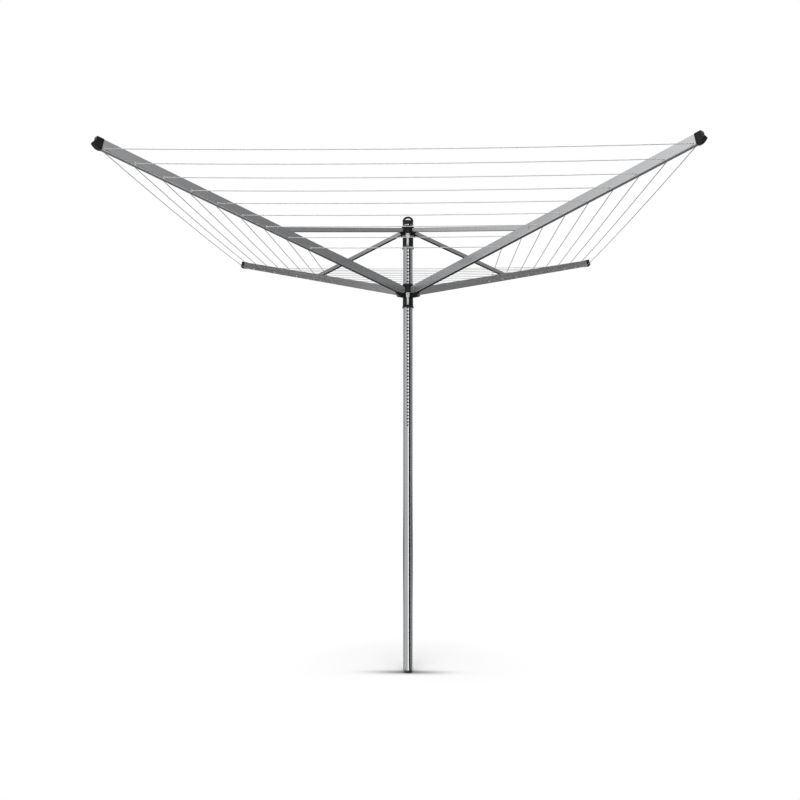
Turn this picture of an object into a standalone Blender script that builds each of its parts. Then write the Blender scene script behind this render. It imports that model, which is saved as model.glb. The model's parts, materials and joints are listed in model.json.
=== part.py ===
"""Rotary clothesline: a four-armed umbrella dryer on a perforated mast.

Metres, +Z up. The origin is the centre of the foot's lower face and the mast
stands on the Z axis. The row of holes and both latches face -Y, and the four
arms lie on the diagonals.
"""
import math

import bmesh
import bpy
from mathutils import Matrix, Vector

# Clearances
GAP = 0.0003
WELD = 0.001
ROUND_SEGMENTS = 32
PIN_SEGMENTS = 10
PIN_HEAD_TAPER = 0.7
HOLE_SEGMENTS = 6

# Foot and mast
FOOT_HEIGHT = 0.0137
FOOT_TAPER = 0.008
FOOT_SETBACK = 0.003
FOOT_FLANGE = 0.0025
SPIGOT_LENGTH = 0.036
SPIGOT_GROOVE_DEPTH = 0.004
SPIGOT_GROOVE_WIDTH = 0.007
MAST_RADIUS = 0.0225
MAST_WALL = 0.0015
MAST_TOP = 2.078
FOOT_RIVET_RADIUS = 0.002
FOOT_RIVET_HEIGHT = 0.006
FOOT_RIVET_HEAD = 0.0036
FOOT_RIVET_ANGLE = math.radians(-121)

# Row of latch holes down the front of the mast
HOLE_RADIUS = 0.003
HOLE_PITCH = 0.015
OPEN_PITCHES = 18
HEIGHT_PITCHES = 38

# Cap with a hanging loop on top of the mast
CAP_WALL = 0.0017
CAP_SKIRT = 0.014
CAP_ROOF = 0.0047
LOOP_HEIGHT = 0.0205
LOOP_THICKNESS = 0.0090
LOOP_DEPTH = 0.012

# Hubs: bore, then heights measured from each hub's pivots
HUB_CLEARANCE = 0.0003
CROWN_BELOW_CAP = 0.006
CROWN_ABOVE_PIVOT = 0.024
CROWN_DISC_HEIGHT = 0.0085
CROWN_DISC_WALL = 0.0072
CROWN_DRUM_WALL = 0.0024
CROWN_SKIRT_WALL = 0.0031
CROWN_BELOW_PIVOT = 0.0203
CROWN_RING_HEIGHT = 0.0064
CROWN_SLEEVE_HEIGHT = 0.0437
CROWN_LOWER_RING_HEIGHT = 0.009
RING_WALL = 0.0027
UPPER_RING_CHAMFER = 0.0006
LOWER_RING_CHAMFER = 0.0012
SLEEVE_CHAMFER = 0.0004
CROWN_SLEEVE_WALL = 0.0017
CROWN_LATCH_DROP = 0.054

CARRIAGE_ABOVE_PIVOT = 0.0304
CARRIAGE_COLLAR_HEIGHT = 0.0095
CARRIAGE_COLLAR_WALL = 0.0034
CARRIAGE_DRUM_WALL = 0.0015
CARRIAGE_FLANGE_WALL = 0.0052
CARRIAGE_FLANGE_HEIGHT = 0.008
CARRIAGE_BELOW_PIVOT = 0.0103
CARRIAGE_SLEEVE_WALL = 0.0012
CARRIAGE_SLEEVE_HEIGHT = 0.0598
CARRIAGE_RING_HEIGHT = 0.0086
CARRIAGE_LATCH_DROP = 0.051

# Pivots of the umbrella linkage
ARM_ROOT_CLEARANCE = 0.0027
ARM_SLOPE = math.radians(13.4)
RIVET_DISTANCE = 0.689

# Arms: channels open along the top
ARM_LENGTH = 1.423
ARM_HEIGHT = 0.036
ARM_WIDTH = 0.0215
ARM_WALL = 0.0015
ARM_WEB_START = 0.026
ARM_PIN_RADIUS = 0.003
ARM_PIN_HEAD_RADIUS = 0.0046
ARM_PIN_HEAD = 0.0012
ARM_TONGUE_PLAY = 0.00325
ARM_TONGUE_REACH = 0.0145
ARM_TONGUE_TOP = 0.0120
ARM_TONGUE_CORNER = 0.006
LOBE_INSET = 0.00075
LOBE_REACH = 0.024
LOBE_DEPTH = 0.0075

# Struts: channels open along the bottom
STRUT_HEIGHT = 0.018
STRUT_PLAY = 0.00225
STRUT_WALL = 0.0012
RIVET_RADIUS = 0.0025
RIVET_HEAD_RADIUS = 0.0042
RIVET_HEAD = 0.0013
STRUT_PIN_RADIUS = 0.002
STRUT_PIN_HEAD_RADIUS = 0.0032
STRUT_PIN_HEAD = 0.001
STRUT_TONGUE_PLAY = 0.0018
STRUT_TONGUE_RIM = 0.0047
STRUT_SEAT_CLEARANCE = 0.0006

# End caps on the arms
END_CAP_GRIP = 0.016
END_CAP_SIDE = 0.00195
END_CAP_LIP = 0.0017
END_CAP_TOP_LENGTH = 0.0245
END_CAP_NOSE = 0.032
END_CAP_BEVEL = 0.0012
END_CAP_POCKET_RIM = 0.0045
END_CAP_POCKET_HEIGHT = 0.019

# Washing line, threaded through the arms ring by ring
LINE_RADIUS = 0.0015
LINE_HOLE_CLEARANCE = 0.0011
LINE_HOLE_RISE = 0.006
LINE_END_MARGIN = 0.025
LINE_HOLE_PITCH = 0.1095
LINE_RINGS = 9
LINE_SAG_PER_SQUARE_METRE = 0.0025
LINE_CORNER = 0.005
LINE_STANDOFF = 0.002
KNOT_SETBACK = 0.002
KNOT_RADIUS = 0.0036

# Latches: keyhole levers hinged across the front of each hub
LATCH_THICKNESS = 0.003
LATCH_STANDOFF = 0.0007
LATCH_KNUCKLE_RADIUS = 0.0026
LATCH_KNUCKLE_LENGTH = 0.0100
LATCH_TOP = 0.0028
LATCH_PIN_RADIUS = 0.0012
LATCH_STUB_RADIUS = 0.0024
LATCH_EAR_START = 0.0110
LATCH_EAR_WIDTH = 0.0020
LATCH_EAR_HALF_HEIGHT = 0.003
LATCH_RAIL_WIDTH = 0.002
LATCH_TIP_RADIUS = 0.002
CROWN_RAIL_ABOVE_HOLE = 0.016
CARRIAGE_RAIL_ABOVE_HOLE = 0.014
CROWN_LATCH_HEAD_WIDTH = 0.018
CROWN_LATCH_HEAD_LENGTH = 0.0194
CROWN_LATCH_CORNER = 0.0088
CROWN_LATCH_TONGUE_WIDTH = 0.010
CARRIAGE_LATCH_HEAD_WIDTH = 0.016
CARRIAGE_LATCH_HEAD_LENGTH = 0.0203
CARRIAGE_LATCH_CORNER = 0.003
CARRIAGE_LATCH_TONGUE_WIDTH = 0.009
LATCH_ARM = 0.0375
LATCH_TAIL = 0.0163
CARRIAGE_LATCH_ARM = 0.0355
SPRING_WIRE_RADIUS = 0.00035
SPRING_RADIUS = 0.002
SPRING_PITCH = 0.00085
SPRING_TURNS = 2

# Sizes that follow from those above
MAST_BOTTOM = FOOT_HEIGHT + GAP
MAST_BORE = MAST_RADIUS - MAST_WALL
HUB_BORE = MAST_RADIUS + HUB_CLEARANCE
CAP_RADIUS = MAST_RADIUS + GAP + CAP_WALL
CAP_BOTTOM = MAST_TOP - CAP_SKIRT
CROWN_DISC_RADIUS = HUB_BORE + CROWN_DISC_WALL
CROWN_DRUM_RADIUS = HUB_BORE + CROWN_DRUM_WALL
CROWN_SKIRT_RADIUS = HUB_BORE + CROWN_SKIRT_WALL
CROWN_SLEEVE_RADIUS = HUB_BORE + CROWN_SLEEVE_WALL
RING_RADIUS = HUB_BORE + RING_WALL
CARRIAGE_COLLAR_RADIUS = HUB_BORE + CARRIAGE_COLLAR_WALL
CARRIAGE_DRUM_RADIUS = HUB_BORE + CARRIAGE_DRUM_WALL
CARRIAGE_FLANGE_RADIUS = HUB_BORE + CARRIAGE_FLANGE_WALL
CARRIAGE_SLEEVE_RADIUS = HUB_BORE + CARRIAGE_SLEEVE_WALL
CROWN_TOP = CAP_BOTTOM - CROWN_BELOW_CAP
CROWN_PIVOT = CROWN_TOP - CROWN_ABOVE_PIVOT
CROWN_HOLE = CROWN_PIVOT - CROWN_LATCH_DROP
CARRIAGE_HOLE = CROWN_HOLE - OPEN_PITCHES * HOLE_PITCH
CARRIAGE_PIVOT = CARRIAGE_HOLE + CARRIAGE_LATCH_DROP
ARM_HALF_WIDTH = ARM_WIDTH / 2
ARM_HALF_HEIGHT = ARM_HEIGHT / 2
ARM_INSIDE = ARM_WIDTH - 2 * ARM_WALL
ARM_TONGUE_WIDTH = ARM_INSIDE - 2 * ARM_TONGUE_PLAY
LOBE_WIDTH = ARM_WIDTH - 2 * LOBE_INSET
PIVOT_RADIUS = CARRIAGE_DRUM_RADIUS + ARM_ROOT_CLEARANCE + ARM_HALF_HEIGHT
STRUT_WIDTH = ARM_INSIDE - 2 * STRUT_PLAY
STRUT_TONGUE_WIDTH = STRUT_WIDTH - 2 * STRUT_WALL - 2 * STRUT_TONGUE_PLAY
STRUT_SEAT_RADIUS = STRUT_PIN_RADIUS + STRUT_SEAT_CLEARANCE
STRUT_TONGUE_EYE = STRUT_SEAT_RADIUS + STRUT_TONGUE_RIM
END_CAP_START = ARM_LENGTH - END_CAP_GRIP
END_CAP_WIDTH = ARM_WIDTH + 2 * (GAP + END_CAP_SIDE)
END_CAP_HALF_HEIGHT = ARM_HALF_HEIGHT + GAP + END_CAP_LIP
LINE_FIRST_HOLE = ARM_LENGTH - LINE_END_MARGIN
LINE_HOLE_RADIUS = LINE_RADIUS + LINE_HOLE_CLEARANCE
LINE_HOLE_DROP = ARM_HALF_HEIGHT - LINE_HOLE_RISE
RIVET_OUT = PIVOT_RADIUS + RIVET_DISTANCE * math.cos(ARM_SLOPE)
RIVET_UP = CARRIAGE_PIVOT + RIVET_DISTANCE * math.sin(ARM_SLOPE)
STRUT_LENGTH = math.hypot(RIVET_OUT - PIVOT_RADIUS, CROWN_PIVOT - RIVET_UP)
STRUT_SLOPE = math.asin((CROWN_PIVOT - RIVET_UP) / STRUT_LENGTH)
ARM_ANGLES = {
    "front_right": math.radians(-45),
    "back_right": math.radians(45),
    "back_left": math.radians(135),
    "front_left": math.radians(225),
}


# Materials

def principled(name, colour, roughness, metallic=0.0):
    """Return a Principled material with the given colour and finish."""
    material = bpy.data.materials.new(name)
    material.use_nodes = True
    shader = material.node_tree.nodes["Principled BSDF"]
    shader.inputs["Base Color"].default_value = (*colour, 1.0)
    shader.inputs["Roughness"].default_value = roughness
    shader.inputs["Metallic"].default_value = metallic
    material.diffuse_color = (*colour, 1.0)
    return material


FINISHES = {
    "aluminium": ((0.62, 0.63, 0.64), 0.35, 1.0),
    "black_plastic": ((0.025, 0.025, 0.027), 0.45, 0.0),
    "grey_plastic": ((0.30, 0.30, 0.31), 0.50, 0.0),
    "latch_plastic": ((0.52, 0.53, 0.54), 0.45, 0.0),
    "steel": ((0.50, 0.50, 0.51), 0.30, 1.0),
    "line": ((0.60, 0.61, 0.62), 0.55, 0.0),
}


# Mesh building

def finished(bm, name):
    """Turn a bmesh into a mesh whose faces point outwards."""
    bmesh.ops.recalc_face_normals(bm, faces=bm.faces)
    mesh = bpy.data.meshes.new(name)
    bm.to_mesh(mesh)
    bm.free()
    return mesh


def prism(outline, depth, bevel=0.0):
    """Extrude an (x, z) outline along Y, centred on y = 0."""
    bm = bmesh.new()
    near = [bm.verts.new((x, -depth / 2, z)) for x, z in outline]
    face = bm.faces.new(near)
    moved = bmesh.ops.extrude_face_region(bm, geom=[face])["geom"]
    verts = [item for item in moved if isinstance(item, bmesh.types.BMVert)]
    bmesh.ops.translate(bm, verts=verts, vec=(0, depth, 0))
    if bevel:
        bmesh.ops.recalc_face_normals(bm, faces=bm.faces)
        bmesh.ops.bevel(bm, geom=bm.edges[:], offset=bevel, segments=1, affect="EDGES")
    return finished(bm, "prism")


def turned(profile, closed=True, segments=ROUND_SEGMENTS):
    """Turn an (r, z) profile round Z; an open profile starts and ends on the axis."""
    bm = bmesh.new()
    rings = []
    for radius, height in profile:
        if radius == 0:
            rings.append([bm.verts.new((0, 0, height))] * segments)
            continue
        angles = [math.tau * step / segments for step in range(segments)]
        rings.append([
            bm.verts.new((radius * math.cos(a), radius * math.sin(a), height)) for a in angles
        ])
    pairs = list(zip(rings, rings[1:]))
    if closed:
        pairs.append((rings[-1], rings[0]))
    for lower, upper in pairs:
        for step in range(segments):
            after = (step + 1) % segments
            corners = [lower[step], lower[after], upper[after], upper[step]]
            bm.faces.new(list(dict.fromkeys(corners)))
    return finished(bm, "turned")


def block(low, high):
    """Return a box between two opposite corners."""
    bm = bmesh.new()
    bmesh.ops.create_cube(bm, size=1)
    bmesh.ops.scale(bm, vec=[b - a for a, b in zip(low, high)], verts=bm.verts)
    bmesh.ops.translate(bm, vec=[(a + b) / 2 for a, b in zip(low, high)], verts=bm.verts)
    return finished(bm, "block")


def rod(radius, start, end, segments=PIN_SEGMENTS):
    """Return a round bar between two points."""
    start = Vector(start)
    along = Vector(end) - start
    bm = bmesh.new()
    bmesh.ops.create_cone(
        bm, cap_ends=True, segments=segments,
        radius1=radius, radius2=radius, depth=along.length,
    )
    turn = along.to_track_quat("Z", "Y").to_matrix().to_4x4()
    bmesh.ops.transform(bm, matrix=Matrix.Translation(start + along / 2) @ turn, verts=bm.verts)
    return finished(bm, "rod")


def headed_pin(radius, head_radius, head, grip):
    """Return a pin along Y with a low head at each end of its grip."""
    half = grip / 2
    profile = [
        (0, -half - head), (head_radius * PIN_HEAD_TAPER, -half - head), (head_radius, -half),
        (radius, -half), (radius, half),
        (head_radius, half), (head_radius * PIN_HEAD_TAPER, half + head), (0, half + head),
    ]
    mesh = turned(profile, closed=False, segments=PIN_SEGMENTS)
    mesh.transform(Matrix.Rotation(math.radians(90), 4, "X"))
    return mesh


def arc(centre, radius, start, end, steps):
    """Return points along an arc, angles in degrees."""
    points = []
    for step in range(steps + 1):
        angle = math.radians(start + (end - start) * step / steps)
        points.append((centre[0] + radius * math.cos(angle), centre[1] + radius * math.sin(angle)))
    return points


def together(meshes):
    """Return one mesh that holds several separate meshes."""
    bm = bmesh.new()
    for mesh in meshes:
        bm.from_mesh(mesh)
    joined = bpy.data.meshes.new("together")
    bm.to_mesh(joined)
    bm.free()
    return joined


def turned_about_z(mesh, angles):
    """Return one mesh holding a copy of the given one at each angle about Z."""
    copies = []
    for angle in angles:
        copy = mesh.copy()
        copy.transform(Matrix.Rotation(angle, 4, "Z"))
        copies.append(copy)
    return together(copies)


def boolean(base, tool, operation):
    """Return base cut by, or joined with, tool."""
    target = bpy.data.objects.new("boolean_target", base)
    cutter = bpy.data.objects.new("boolean_cutter", tool)
    bpy.context.collection.objects.link(target)
    bpy.context.collection.objects.link(cutter)
    modifier = target.modifiers.new("Boolean", "BOOLEAN")
    modifier.solver = "EXACT"
    modifier.object = cutter
    modifier.operation = operation
    evaluated = target.evaluated_get(bpy.context.evaluated_depsgraph_get())
    result = bpy.data.meshes.new_from_object(evaluated)
    bpy.data.objects.remove(target)
    bpy.data.objects.remove(cutter)
    return result


def cut(base, *tools):
    """Return base with each tool cut out of it."""
    for tool in tools:
        base = boolean(base, tool, "DIFFERENCE")
    return base


def joined_with(base, *tools):
    """Return base with each tool united to it."""
    for tool in tools:
        base = boolean(base, tool, "UNION")
    return base


# Placing

def add_part(name, mesh, finish, place=None, parent=None):
    """Link a named part at a world placement, following a parent if given."""
    part = bpy.data.objects.new(name, mesh)
    bpy.context.collection.objects.link(part)
    place = place or Matrix.Identity(4)
    if parent:
        part.parent = parent
        part.matrix_basis = parent.matrix_world.inverted() @ place
    else:
        part.matrix_basis = place
    part.data.materials.clear()
    part.data.materials.append(MATERIALS[finish])
    if part.type == "MESH":
        mesh.shade_smooth()
        mesh.set_sharp_from_angle(angle=math.radians(30))
    bpy.context.view_layer.update()
    return part


def add_wire(name, points, radius, finish, resolution, parent=None):
    """Link a round wire or line along a list of points."""
    curve = bpy.data.curves.new(name, "CURVE")
    curve.dimensions = "3D"
    curve.bevel_depth = radius
    curve.bevel_resolution = resolution
    curve.use_fill_caps = True
    spline = curve.splines.new("POLY")
    spline.points.add(len(points) - 1)
    for point, place in zip(spline.points, points):
        point.co = (*place, 1)
    return add_part(name, curve, finish, parent=parent)


def arm_place(angle):
    """Return the frame of an arm: origin on its root pivot, X out along it."""
    pivot = Vector((PIVOT_RADIUS * math.cos(angle), PIVOT_RADIUS * math.sin(angle), CARRIAGE_PIVOT))
    turn = Matrix.Rotation(angle, 4, "Z") @ Matrix.Rotation(-ARM_SLOPE, 4, "Y")
    return Matrix.Translation(pivot) @ turn


def strut_place(angle):
    """Return the frame of a strut: origin on its rivet, X in along it to the crown."""
    rivet = Vector((RIVET_OUT * math.cos(angle), RIVET_OUT * math.sin(angle), RIVET_UP))
    turn = Matrix.Rotation(angle + math.pi, 4, "Z") @ Matrix.Rotation(-STRUT_SLOPE, 4, "Y")
    return Matrix.Translation(rivet) @ turn


# Foot and mast

def foot_plug_mesh():
    """Return the tapered foot with its grooved spigot inside the mast."""
    rim = MAST_RADIUS - FOOT_SETBACK
    spigot = MAST_BORE - GAP
    groove = spigot - SPIGOT_GROOVE_DEPTH
    middle = MAST_BOTTOM + FOOT_RIVET_HEIGHT
    return turned([
        (0, 0), (rim - FOOT_TAPER, 0), (rim, FOOT_HEIGHT - FOOT_FLANGE),
        (MAST_RADIUS, FOOT_HEIGHT - FOOT_FLANGE / 2), (MAST_RADIUS, FOOT_HEIGHT),
        (spigot, FOOT_HEIGHT),
        (spigot, middle - SPIGOT_GROOVE_WIDTH / 2), (groove, middle - SPIGOT_GROOVE_WIDTH / 2),
        (groove, middle + SPIGOT_GROOVE_WIDTH / 2), (spigot, middle + SPIGOT_GROOVE_WIDTH / 2),
        (spigot, MAST_BOTTOM + SPIGOT_LENGTH), (0, MAST_BOTTOM + SPIGOT_LENGTH),
    ], closed=False)


def mast_mesh():
    """Return the mast tube with its front row of latch holes and its rivet hole."""
    tube = turned([
        (MAST_RADIUS, MAST_TOP), (MAST_RADIUS, MAST_BOTTOM),
        (MAST_BORE, MAST_BOTTOM), (MAST_BORE, MAST_TOP),
    ])
    drills = []
    for step in range(OPEN_PITCHES + HEIGHT_PITCHES + 1):
        height = CROWN_HOLE - step * HOLE_PITCH
        drills.append(rod(HOLE_RADIUS, (0, -2 * MAST_RADIUS, height), (0, 0, height), HOLE_SEGMENTS))
    outward = Vector((math.cos(FOOT_RIVET_ANGLE), math.sin(FOOT_RIVET_ANGLE), 0))
    rise = Vector((0, 0, MAST_BOTTOM + FOOT_RIVET_HEIGHT))
    drills.append(rod(FOOT_RIVET_RADIUS + GAP, rise, rise + outward * 2 * MAST_RADIUS))
    return cut(tube, together(drills))


def foot_rivet_mesh():
    """Return the rivet that holds the foot: its shank ends in the spigot's groove."""
    head_base = MAST_RADIUS + GAP
    shank_end = MAST_BORE - SPIGOT_GROOVE_DEPTH
    head_top = head_base + FOOT_RIVET_RADIUS / 2
    rivet = turned([
        (0, shank_end), (FOOT_RIVET_RADIUS, shank_end), (FOOT_RIVET_RADIUS, head_base),
        (FOOT_RIVET_HEAD, head_base), (FOOT_RIVET_HEAD * PIN_HEAD_TAPER, head_top), (0, head_top),
    ], closed=False, segments=PIN_SEGMENTS)
    rise = Matrix.Translation((0, 0, MAST_BOTTOM + FOOT_RIVET_HEIGHT))
    spin = Matrix.Rotation(FOOT_RIVET_ANGLE, 4, "Z")
    rivet.transform(rise @ spin @ Matrix.Rotation(math.radians(90), 4, "Y"))
    return rivet


def mast_cap_mesh():
    """Return the cap over the mast's end, with its hanging loop."""
    roof = MAST_TOP + GAP
    cup = turned([
        (0, roof + CAP_ROOF), (CAP_RADIUS - CAP_WALL, roof + CAP_ROOF),
        (CAP_RADIUS, roof + CAP_ROOF - CAP_WALL), (CAP_RADIUS, CAP_BOTTOM),
        (MAST_RADIUS + GAP, CAP_BOTTOM), (MAST_RADIUS + GAP, roof), (0, roof),
    ], closed=False)
    base = roof + CAP_ROOF
    half = CAP_RADIUS - CAP_WALL / 2
    outer = [(half * math.cos(a), base + LOOP_HEIGHT * math.sin(a))
             for a in (math.pi * step / 20 for step in range(21))]
    inner_half = half - LOOP_THICKNESS
    inner_height = LOOP_HEIGHT - LOOP_THICKNESS
    inner = [(inner_half * math.cos(a), base + inner_height * math.sin(a))
             for a in (math.pi * step / 16 for step in range(16, -1, -1))]
    sunk = base - CAP_ROOF / 2
    outline = [(half, sunk)] + outer + [(-half, sunk), (-inner_half, sunk)]
    outline += inner + [(inner_half, sunk)]
    return joined_with(cup, prism(outline, LOOP_DEPTH))


# Hubs

def ring_mesh(radius, low, high, chamfer):
    """Return a ring round the mast with chamfered outer edges."""
    return turned([
        (HUB_BORE, high), (radius - chamfer, high), (radius, high - chamfer),
        (radius, low + chamfer), (radius - chamfer, low), (HUB_BORE, low),
    ])


def latch_axis_out(skirt_radius):
    """Return how far in front of the mast's axis a latch hinges."""
    return skirt_radius + LATCH_STANDOFF + LATCH_KNUCKLE_RADIUS


def inside_wall(across):
    """Return the depth just outside the hub bore at a sideways distance."""
    return -math.sqrt((HUB_BORE + GAP) ** 2 - across ** 2)


def latch_ears(skirt_radius, height):
    """Return the two drilled ears that carry a latch's hinge pin."""
    axis = latch_axis_out(skirt_radius)
    ears = []
    for side in (-1, 1):
        ends = sorted((side * LATCH_EAR_START, side * (LATCH_EAR_START + LATCH_EAR_WIDTH)))
        low = (ends[0], -axis - LATCH_KNUCKLE_RADIUS, height - LATCH_EAR_HALF_HEIGHT)
        high = (ends[1], inside_wall(LATCH_EAR_START), height + LATCH_EAR_HALF_HEIGHT)
        ears.append(block(low, high))
    reach = LATCH_EAR_START + 2 * LATCH_EAR_WIDTH
    drill = rod(LATCH_PIN_RADIUS + GAP, (-reach, -axis, height), (reach, -axis, height))
    return cut(together(ears), drill)


def latch_rails(tongue_width, skirt_radius, low, high):
    """Return the rails on a sleeve that guide a latch's tongue."""
    rails = []
    inner = tongue_width / 2 + 2 * GAP
    for side in (-1, 1):
        ends = sorted((side * inner, side * (inner + LATCH_RAIL_WIDTH)))
        front = -skirt_radius - LATCH_STANDOFF - LATCH_THICKNESS / 2
        rails.append(block((ends[0], front, low), (ends[1], inside_wall(inner), high)))
    return together(rails)


def latch_mesh(head_width, head_length, corner, tongue_width, arm, skirt_radius):
    """Return a keyhole lever with its knuckle and the stub that enters the mast's holes."""
    half = head_width / 2
    top = LATCH_TOP
    bottom = LATCH_TOP - head_length
    narrow = tongue_width / 2
    tail = -arm - LATCH_TAIL
    lower = min(corner, half - narrow)
    right = arc((half - corner, top - corner), corner, 90, 0, 6)
    right += arc((half - lower, bottom + lower), lower, 0, -90, 4)
    right += [(narrow, bottom - lower / 2)]
    tip = LATCH_TIP_RADIUS
    right += arc((narrow - tip, tail + tip), tip, 0, -90, 3)
    outline = right + [(-x, z) for x, z in reversed(right)]
    plate = prism(outline, LATCH_THICKNESS)
    inner_face = LATCH_KNUCKLE_RADIUS
    plate.transform(Matrix.Translation((0, inner_face - LATCH_THICKNESS / 2, 0)))
    knuckle_half = LATCH_KNUCKLE_LENGTH / 2
    knuckle = rod(LATCH_KNUCKLE_RADIUS, (-knuckle_half, 0, 0), (knuckle_half, 0, 0))
    mast_face = latch_axis_out(skirt_radius) - MAST_RADIUS - GAP
    stub = rod(LATCH_STUB_RADIUS, (0, WELD, -arm), (0, mast_face, -arm))
    bore = rod(LATCH_PIN_RADIUS + GAP, (-head_width, 0, 0), (head_width, 0, 0))
    return cut(joined_with(plate, knuckle, stub), bore)


def add_latch(prefix, mesh, skirt_radius, height, hub):
    """Place a latch with its hinge pin and the torsion spring round the pin."""
    axis = Matrix.Translation((0, -latch_axis_out(skirt_radius), height))
    add_part(prefix + "_latch", mesh, "latch_plastic", axis, hub)
    reach = LATCH_EAR_START + LATCH_EAR_WIDTH
    pin = rod(LATCH_PIN_RADIUS, (-reach, 0, 0), (reach, 0, 0))
    add_part(prefix + "_latch_pin", pin, "steel", axis, hub)
    first = LATCH_EAR_START - SPRING_TURNS * SPRING_PITCH - SPRING_WIRE_RADIUS - GAP
    points = []
    per_turn = 8
    for step in range(SPRING_TURNS * per_turn + 1):
        angle = math.tau * step / per_turn
        points.append((
            first + SPRING_PITCH * step / per_turn,
            -latch_axis_out(skirt_radius) + SPRING_RADIUS * math.cos(angle),
            height + SPRING_RADIUS * math.sin(angle),
        ))
    add_wire(prefix + "_latch_spring", points, SPRING_WIRE_RADIUS, "steel", 1, hub)


def strut_tongue():
    """Return one crown tongue: an eye whose seat is open upwards for the strut's pin."""
    seat = STRUT_SEAT_RADIUS
    mouth = seat * 1.3
    eye = STRUT_TONGUE_EYE
    mouth_angle = math.degrees(math.acos(mouth / eye))
    left_rim = arc((PIVOT_RADIUS, CROWN_PIVOT), eye, 180 - mouth_angle, 150, 1)
    right_rim = arc((PIVOT_RADIUS, CROWN_PIVOT), eye, -20, mouth_angle, 6)
    bowl = arc((PIVOT_RADIUS, CROWN_PIVOT), seat, 0, -180, 10)
    root = CROWN_DRUM_RADIUS - WELD
    low = CROWN_PIVOT - CROWN_BELOW_PIVOT
    outline = [(root, low), (PIVOT_RADIUS - eye, low), (PIVOT_RADIUS + eye * 0.9, low + eye)]
    outline += right_rim + bowl + left_rim
    outline += [(root, CROWN_PIVOT + eye / 2)]
    return prism(outline, STRUT_TONGUE_WIDTH)


def crown_hub_mesh():
    """Return the crown: disc, drum and skirt in one, with four strut tongues."""
    disc_low = CROWN_TOP - CROWN_DISC_HEIGHT
    low = CROWN_PIVOT - CROWN_BELOW_PIVOT
    body = turned([
        (HUB_BORE, CROWN_TOP), (CROWN_SLEEVE_RADIUS, CROWN_TOP),
        (CROWN_DISC_RADIUS, CROWN_TOP - CROWN_DISC_HEIGHT * 0.75), (CROWN_DISC_RADIUS, disc_low),
        (CROWN_DRUM_RADIUS, disc_low), (CROWN_DRUM_RADIUS, CROWN_PIVOT),
        (CROWN_SKIRT_RADIUS, CROWN_PIVOT - WELD), (CROWN_SKIRT_RADIUS, low), (HUB_BORE, low),
    ])
    ears = latch_ears(CROWN_SKIRT_RADIUS, CROWN_HOLE + LATCH_ARM)
    tongues = turned_about_z(strut_tongue(), ARM_ANGLES.values())
    return joined_with(body, tongues, ears)


def add_crown():
    """Build the crown, its rings and sleeve, and its latch."""
    hub = add_part("crown_hub", crown_hub_mesh(), "black_plastic")
    ring_top = CROWN_PIVOT - CROWN_BELOW_PIVOT - GAP
    ring_low = ring_top - CROWN_RING_HEIGHT
    ring = ring_mesh(RING_RADIUS, ring_low, ring_top, UPPER_RING_CHAMFER)
    add_part("crown_upper_ring", ring, "grey_plastic", parent=hub)
    sleeve_top = ring_low - GAP
    sleeve_low = sleeve_top - CROWN_SLEEVE_HEIGHT
    sleeve = ring_mesh(CROWN_SLEEVE_RADIUS, sleeve_low, sleeve_top, SLEEVE_CHAMFER)
    rails = latch_rails(
        CROWN_LATCH_TONGUE_WIDTH, CROWN_SKIRT_RADIUS,
        sleeve_low + WELD, CROWN_HOLE + CROWN_RAIL_ABOVE_HOLE,
    )
    window = rod(
        LATCH_STUB_RADIUS + 3 * GAP,
        (0, -2 * MAST_RADIUS, CROWN_HOLE), (0, 0, CROWN_HOLE),
    )
    sleeve = cut(joined_with(sleeve, rails), window)
    add_part("crown_sleeve", sleeve, "black_plastic", parent=hub)
    lower_top = sleeve_low - GAP
    lower = ring_mesh(RING_RADIUS, lower_top - CROWN_LOWER_RING_HEIGHT, lower_top, LOWER_RING_CHAMFER)
    add_part("crown_lower_ring", lower, "grey_plastic", parent=hub)
    latch = latch_mesh(
        CROWN_LATCH_HEAD_WIDTH, CROWN_LATCH_HEAD_LENGTH, CROWN_LATCH_CORNER,
        CROWN_LATCH_TONGUE_WIDTH, LATCH_ARM, CROWN_SKIRT_RADIUS,
    )
    add_latch("crown", latch, CROWN_SKIRT_RADIUS, CROWN_HOLE + LATCH_ARM, hub)


def arm_tongue():
    """Return one carriage tongue, which stands inside an arm's root, clear of the latch's ears."""
    root = CARRIAGE_DRUM_RADIUS - WELD
    past_ears = (LATCH_EAR_START + LATCH_EAR_WIDTH + GAP) * math.sqrt(2) + ARM_TONGUE_WIDTH / 2
    clear = max(CARRIAGE_SLEEVE_RADIUS + 3 * GAP, past_ears)
    flange_low = CARRIAGE_PIVOT - CARRIAGE_BELOW_PIVOT
    base = CARRIAGE_PIVOT - ARM_HALF_HEIGHT - LOBE_DEPTH * 0.6
    reach = PIVOT_RADIUS + ARM_TONGUE_REACH
    top = CARRIAGE_PIVOT + ARM_TONGUE_TOP
    corner = ARM_TONGUE_CORNER
    outline = [(root, flange_low + WELD), (clear, flange_low + WELD), (clear, base), (reach, base)]
    outline += arc((reach - corner, top - corner), corner, 0, 90, 4)
    outline += [(root, top)]
    return prism(outline, ARM_TONGUE_WIDTH)


def arm_lobe():
    """Return one carriage lobe, whose sloped top is the rest under an opened arm."""
    clear = CARRIAGE_SLEEVE_RADIUS + 3 * GAP
    tip = PIVOT_RADIUS + LOBE_REACH
    drop = (ARM_HALF_HEIGHT + GAP) / math.cos(ARM_SLOPE)

    def rest(out):
        return CARRIAGE_PIVOT + (out - PIVOT_RADIUS) * math.tan(ARM_SLOPE) - drop

    outline = [
        (clear, rest(clear)), (tip, rest(tip)), (tip, rest(tip) - LOBE_DEPTH / 2),
        (tip - LOBE_DEPTH, rest(tip) - LOBE_DEPTH * 1.2), (clear, rest(clear) - LOBE_DEPTH),
    ]
    return prism(outline, LOBE_WIDTH)


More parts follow.
